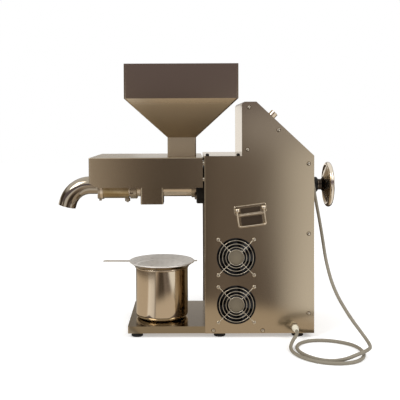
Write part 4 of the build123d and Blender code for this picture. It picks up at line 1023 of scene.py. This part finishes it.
class OILPRESS_OT_finishes(bpy.types.Operator):
    """Gives every CAD piece its finish"""
    bl_idname = "oilpress.finishes"
    bl_label = "Finishes"

    def execute(self, context):
        steel = context.scene.oil_press.steel
        sheet = brushed_sheet("brushed_304_upright", "Z", steel.sheet, steel.sheet_roughness, steel.grain)
        funnel = brushed_sheet(
            "blasted_304_funnel", "Z", steel.sheet, steel.sheet_roughness, steel.grain, hopper_fold
        )
        level = brushed_sheet("brushed_304_level", "X", steel.sheet, 0.2, steel.grain)
        # The tray's steel is darker than the housing's: painted shade for the darker deck and lip near the
        # floor
        tray = brushed_sheet("brushed_304_tray_painted_shade", "X", linear("#9A8D76"), 0.14, steel.grain)
        bright = polished_steel("polished_304", steel.polished, 0.11)
        soft_bright = polished_steel("buffed_304", steel.polished, 0.2)
        satin = polished_steel("satin_bent_tube", linear("#A39887"), 0.09)
        wheel = polished_steel("polished_wheel", linear("#E2D6C4"), 0.17, 0.09)
        # The wheel's hub is blackened
        parted(wheel, "X", "LESS_THAN", 0.2775, linear("#3A322A"), 1.0)
        turned = turned_steel("turned_carbon_steel", linear("#A79A86"), 0.26, 0.0, press_axis)
        zinc = polished_steel("zinc_plated_fasteners", linear("#CFC6B4"), 0.24, 0.01)
        # Chemical black oxide on steel: near black with a soft oily sheen
        oxide = sand_cast("black_oxide_steel", linear("#1B1917"), 0.42, 0.6, 0.0015)
        iron = sand_cast("bare_grey_iron", linear("#5A5C5E"), 0.55, 0.8, 0.0012)
        alloy = sand_cast("cast_aluminium", linear("#A6A8AA"), 0.4, 0.9, 0.001)
        gears = turned_steel("oiled_gear_steel", linear("#8F8E8C"), 0.24, 0.0, press_axis)
        bronze = turned_steel("turned_bronze", linear("#B07F45"), 0.25, 0.0, press_axis)
        heater = heat_tinted("heat_tinted_jacket", linear("#B7A685"), linear("#94805C"), 0.2)
        black = moulded("black_abs", linear("#17171A"), 0.45)
        rubber = moulded("black_nitrile_rubber", linear("#121212"), 0.75, 0.0015, 0.0001)
        # The gland's nut on the machine's side is plated, and the rest is nylon
        gland = moulded("gland_nylon", linear("#FFF4E0"), 0.35, 0.002, 0.00004)
        parted(gland, "Y", "GREATER_THAN", -0.1047, linear("#C8BEAC"), 1.0)
        red = moulded("red_gloss_abs", linear("#B3161A"), 0.2, 0.004, 0.00002, coat=0.4)
        sheath = moulded("pvc_plug", context.scene.oil_press.cord.sheath, 0.5, 0.002, 0.00008)
        fans = ("upper", "lower")
        handles = ("near", "far")
        finish_groups = (
            (sheet, "main_housing rear_cover feed_port".split()),
            (sheet, [f"{name}_handle_plate" for name in handles]),
            (funnel, ["hopper"]),
            (level, "oil_chute chamber_cover".split()),
            (tray, ["base_tray"]),
            (bright, "selector_knob oil_pot".split()),
            (bright, [f"{name}_handle_bail" for name in handles]),
            (soft_bright, "press_barrel press_head strainer".split()),
            (soft_bright, [f"{name}_fan_guard" for name in fans]),
            (satin, ["cake_elbow"]),
            (wheel, ["handwheel"]),
            (turned, "barrel_ring auger head_lock_ring outlet_flange main_shaft".split()),
            (zinc, "housing_screws flange_bolts thermocouple outlet_bolts cover_screws".split()),
            (zinc, "case_bolts fan_screws".split()),
            (oxide, "top_screws barrel_flange motor_bracket rear_bushing".split()),
            (iron, "bearing_housing gear_case_front gear_case_rear".split()),
            (alloy, ["motor_housing"]),
            (gears, "output_gear lay_shaft lay_gear motor_rotor".split()),
            (bronze, "front_bearing thrust_washer".split()),
            (heater, ["heater_band"]),
            (black, "selector_switch temperature_controller rocker_body".split()),
            (black, [f"{name}_fan_{part}" for name in fans for part in ("frame", "impeller")]),
            (rubber, ["rubber_feet"]),
            (gland, ["cable_gland"]),
            (red, ["rocker_paddle"]),
            (sheath, "power_cord mains_plug".split()),
        )
        finishes = {node: material for material, nodes in finish_groups for node in nodes}
        missing = set(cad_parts) - set(finishes)
        if missing:
            raise RuntimeError(f"no finish for {sorted(missing)}")
        for node, material in finishes.items():
            piece = bpy.data.objects.get(node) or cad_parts[node]
            if not piece.material_slots:
                piece.data.materials.append(material)
            for material_slot in piece.material_slots:
                material_slot.material = material
        return {"FINISHED"}


# What the steel reflects, by direction from the camera's mirror image behind the near side:
# degrees and colour. 0 is towards the camera, and the right-hand side is positive.
mirror_point = (camera_place[0], -2 * half_width - camera_place[1])
studio_tones = [
    (-180, "#E8E2DA"),
    (-92, "#E8E2DA"),
    (-84, "#5E554D"),
    (-53, "#5E554D"),
    (-49, "#F4F0EA"),
    (-46, "#F4F0EA"),
    (-43, "#7E7368"),
    (-32, "#7E7368"),
    (-28, "#FFFFFF"),
    (-12, "#FFFFFF"),
    (-8.8, "#C9BBAC"),
    (-6.6, "#8B7C70"),
    (-4, "#50473F"),
    (1.0, "#50473F"),
    (1.7, "#8A807A"),
    (3.8, "#7A706A"),
    (6.8, "#716863"),
    (7.9, "#A7A19E"),
    (8.9, "#FFFFFF"),
    (14, "#FFFFFF"),
    (31, "#F6F0EA"),
    (43, "#A99E92"),
    (57, "#6F655B"),
    (76, "#4F463E"),
    (180, "#4F463E"),
]

# The table left of the machine, which the pot reflects, by direction from the pot
table_tones = [
    (-180, "#9C9890"),
    (-138, "#9C9890"),
    (-132, "#CEC0AE"),
    (-60, "#CEC0AE"),
    (-52, "#FFFAF6"),
    (-30, "#E8E3DF"),
    (-22, "#605753"),
    (180, "#605753"),
]


def blended_where(tree, limits, first, second):
    """One colour that turns into another where every limit holds, each a hex value or a socket.

    A limit is a value, where it starts to hold and where it holds in full, with a smooth change between.
    """
    share = 1.0
    for value, low, high in limits:
        ends = {"Value": value, "From Min": low, "From Max": high}
        part = add_node(tree, "ShaderNodeMapRange", {"interpolation_type": "SMOOTHSTEP"}, ends)
        both = {0: share, 1: part.outputs[0]}
        share = add_node(tree, "ShaderNodeMath", {"operation": "MULTIPLY"}, both).outputs[0]
    first, second = [
        tone if isinstance(tone, bpy.types.NodeSocket) else (*linear(tone), 1.0)
        for tone in (first, second)
    ]
    blend = {0: share, 6: first, 7: second}
    return add_node(tree, "ShaderNodeMix", {"data_type": "RGBA"}, blend).outputs[2]


def bearing(tree, axes, centre):
    """The direction of a place from a centre, in radians: 0 towards the camera, positive to the right."""
    legs = []
    for first, second in ((axes[0], centre[0]), (centre[1], axes[1])):
        gap = add_node(tree, "ShaderNodeMath", {"operation": "SUBTRACT"}, {0: first, 1: second})
        legs.append(gap.outputs[0])
    turn = {0: legs[0], 1: legs[1]}
    return add_node(tree, "ShaderNodeMath", {"operation": "ARCTAN2"}, turn).outputs[0]


def toned(tree, angle, tones):
    """The colour that a list of degrees and colours gives at an angle."""
    round_it = {"Value": angle, "From Min": -math.pi, "From Max": math.pi}
    along = add_node(tree, "ShaderNodeMapRange", inputs=round_it).outputs[0]
    node = add_node(tree, "ShaderNodeValToRGB", inputs={"Fac": along})
    stops = node.color_ramp.elements
    for degrees, code in tones:
        spot = (degrees + 180) / 360
        stop = stops.new(spot) if 0 < spot < 1 else stops[0 if spot <= 0 else -1]
        stop.color = (*linear(code), 1.0)
    return node.outputs[0]


def studio_look():
    """The studio round the machine as reflections show it: dark behind the camera, lit at the sides."""
    material = bpy.data.materials.new("studio_surroundings")
    tree = empty_tree(material)
    place = add_node(tree, "ShaderNodeTexCoord").outputs["Object"]
    axes = add_node(tree, "ShaderNodeSeparateXYZ", inputs={0: place}).outputs
    x, y, z = axes
    reach = add_node(
        tree, "ShaderNodeVectorMath", {"operation": "LENGTH"}, {0: place}
    ).outputs["Value"]
    side_on = bearing(tree, axes, mirror_point)
    tones = toned(tree, side_on, studio_tones)
    # A grey panel stands on the right, at the height of the raised housing
    panel = ((z, 0.22, 0.38), (z, 0.56, 0.5), (side_on, math.radians(3.4), math.radians(4.4)))
    tones = blended_where(tree, panel, tones, "#C2C0C4")
    # Behind the camera the room is dark above the height of the hopper
    tones = blended_where(tree, ((z, 0.5, 0.6), (y, -0.6, -1.2)), tones, "#7C737C")
    # The table near the machine is tan, and the table behind it lies in its shade
    table = blended_where(tree, ((reach, 0.30, 0.42),), "#D2C5B5", tones)
    table = blended_where(tree, ((y, 0.12, 0.2),), table, "#4A4038")
    # The table on the left has cream and tan things on it and is dark further out
    from_pot = bearing(tree, axes, pot_place)
    left_tone = toned(tree, from_pot, table_tones)
    left_tone = blended_where(tree, ((reach, 0.56, 0.66),), left_tone, "#6F6459")
    left_part = ((from_pot, math.radians(-20), math.radians(-26)), (reach, 0.9, 0.75))
    table = blended_where(tree, left_part, table, left_tone)
    # The wall behind is bright low down, grey above and brown at the upper left
    wall_tone = blended_where(tree, ((z, 0.50, 0.85),), "#FFFAF2", "#A6A3A4")
    wall_tone = blended_where(tree, ((z, 0.55, 0.65), (x, -0.3, -0.42)), wall_tone, "#8E8579")
    whole = blended_where(tree, ((y, 0.5, 1.5), (z, 0.0099, 0.0101)), table, wall_tone)
    # The top of the wall fades into the lit ceiling
    faded = blended_where(tree, ((z, 1.3, 2.1),), whole, "#FFFFFF")
    glow = add_node(tree, "ShaderNodeEmission", inputs={"Color": faded})
    add_node(tree, "ShaderNodeOutputMaterial", inputs={"Surface": glow.outputs[0]})
    return material


def seen_share(tree):
    """1 for what the camera, a reflection or clear material shows, and 0 for scattered light."""
    rays = add_node(tree, "ShaderNodeLightPath").outputs
    share = rays["Is Camera Ray"]
    for kind in ("Is Glossy Ray", "Is Transmission Ray"):
        either = {0: share, 1: rays[kind]}
        share = add_node(tree, "ShaderNodeMath", {"operation": "MAXIMUM"}, either).outputs[0]
    return share


def paper_look():
    """White paper that scatters light, lifted to white where it is seen and not where it lights."""
    paper = bpy.data.materials.new("white_paper_floor")
    tree = empty_tree(paper)
    matt = add_node(tree, "ShaderNodeBsdfDiffuse", inputs={"Color": (0.9, 0.9, 0.9, 1.0)})
    ends = {"Value": seen_share(tree), "To Min": 0.0, "To Max": 0.35}
    lift = add_node(tree, "ShaderNodeMapRange", inputs=ends)
    glow = add_node(tree, "ShaderNodeEmission", inputs={"Strength": lift.outputs[0]})
    both = add_node(tree, "ShaderNodeAddShader", inputs={0: matt.outputs[0], 1: glow.outputs[0]})
    add_node(tree, "ShaderNodeOutputMaterial", inputs={"Surface": both.outputs[0]})
    return paper


class OILPRESS_OT_stage(bpy.types.Operator):
    """Adds the floor, the white room, the lamps and the surroundings that the steel reflects"""
    bl_idname = "oilpress.stage"
    bl_label = "Stage"

    def execute(self, context):
        settings = context.scene.oil_press.stage
        scene = context.scene
        scene.view_settings.view_transform = "Standard"
        room = bpy.data.worlds.new("white_room")
        tree = empty_tree(room)
        ends = {"Value": seen_share(tree), "To Min": settings.sky, "To Max": 1.0}
        strength = add_node(tree, "ShaderNodeMapRange", inputs=ends)
        light = {"Color": (1.0, 1.0, 1.0, 1.0), "Strength": strength.outputs[0]}
        background = add_node(tree, "ShaderNodeBackground", inputs=light)
        add_node(tree, "ShaderNodeOutputWorld", inputs={"Surface": background.outputs[0]})
        scene.world = room

        bm = bmesh.new()
        bmesh.ops.create_grid(bm, x_segments=1, y_segments=1, size=6.0)
        floor = new_object(bm, "floor", paper_look())

        # A drum round the machine that only reflections see
        bm = bmesh.new()
        bottom = bmesh.ops.create_circle(bm, cap_ends=True, radius=3.0, segments=96)["verts"]
        bmesh.ops.translate(bm, vec=(0.0, 0.0, 0.0002), verts=bottom)
        rim = [edge for edge in bm.edges if edge.is_boundary]
        raised = bmesh.ops.extrude_edge_only(bm, edges=rim)["geom"]
        top = [item for item in raised if isinstance(item, bmesh.types.BMVert)]
        bmesh.ops.translate(bm, vec=(0.0, 0.0, 2.1), verts=top)
        surroundings = new_object(bm, "surroundings", studio_look())
        surroundings.visible_camera = False
        surroundings.visible_diffuse = False
        surroundings.visible_shadow = False
        surroundings.visible_transmission = False

        for name, power, place in (
            ("key_lamp", settings.key_power, (-1.8, -1.6, 2.3)),
            ("fill_lamp", settings.fill_power, (2.1, -1.2, 1.9)),
        ):
            lamp = bpy.data.lights.new(name, "AREA")
            lamp.energy = power
            lamp.size = 1.4
            holder = bpy.data.objects.new(name, lamp)
            scene.collection.objects.link(holder)
            aim = Vector((0.0, 0.0, 0.25)) - Vector(place)
            turn = aim.to_track_quat("-Z", "Y").to_matrix().to_4x4()
            holder.matrix_world = Matrix.Translation(place) @ turn
        return {"FINISHED"}


steps = (
    OILPRESS_OT_camera,
    OILPRESS_OT_cord,
    OILPRESS_OT_finishes,
    OILPRESS_OT_strainer,
    OILPRESS_OT_screws,
    OILPRESS_OT_fan_discs,
    OILPRESS_OT_guards,
    OILPRESS_OT_handles,
    OILPRESS_OT_controls,
    OILPRESS_OT_stage,
)


class OILPRESS_PT_panel(bpy.types.Panel):
    """Lists the steps that dress the screw oil press"""
    bl_idname = "OILPRESS_PT_panel"
    bl_label = "Screw oil press"
    bl_space_type = "VIEW_3D"
    bl_region_type = "UI"
    bl_category = "Oil press"

    def draw(self, context):
        for step in steps:
            self.layout.operator(step.bl_idname)


groups = (CordSettings, StrainerSettings, SteelSettings, DisplaySettings, StageSettings, PressSettings)


def register():
    for item in (*groups, *steps, OILPRESS_PT_panel):
        bpy.utils.register_class(item)
    bpy.types.Scene.oil_press = PointerProperty(type=PressSettings)


def unregister():
    del bpy.types.Scene.oil_press
    for item in reversed((*groups, *steps, OILPRESS_PT_panel)):
        bpy.utils.unregister_class(item)


def main():
    register()
    for step in steps:
        family, name = step.bl_idname.split(".")
        getattr(getattr(bpy.ops, family), name)()


if __name__ == "__main__":
    main()
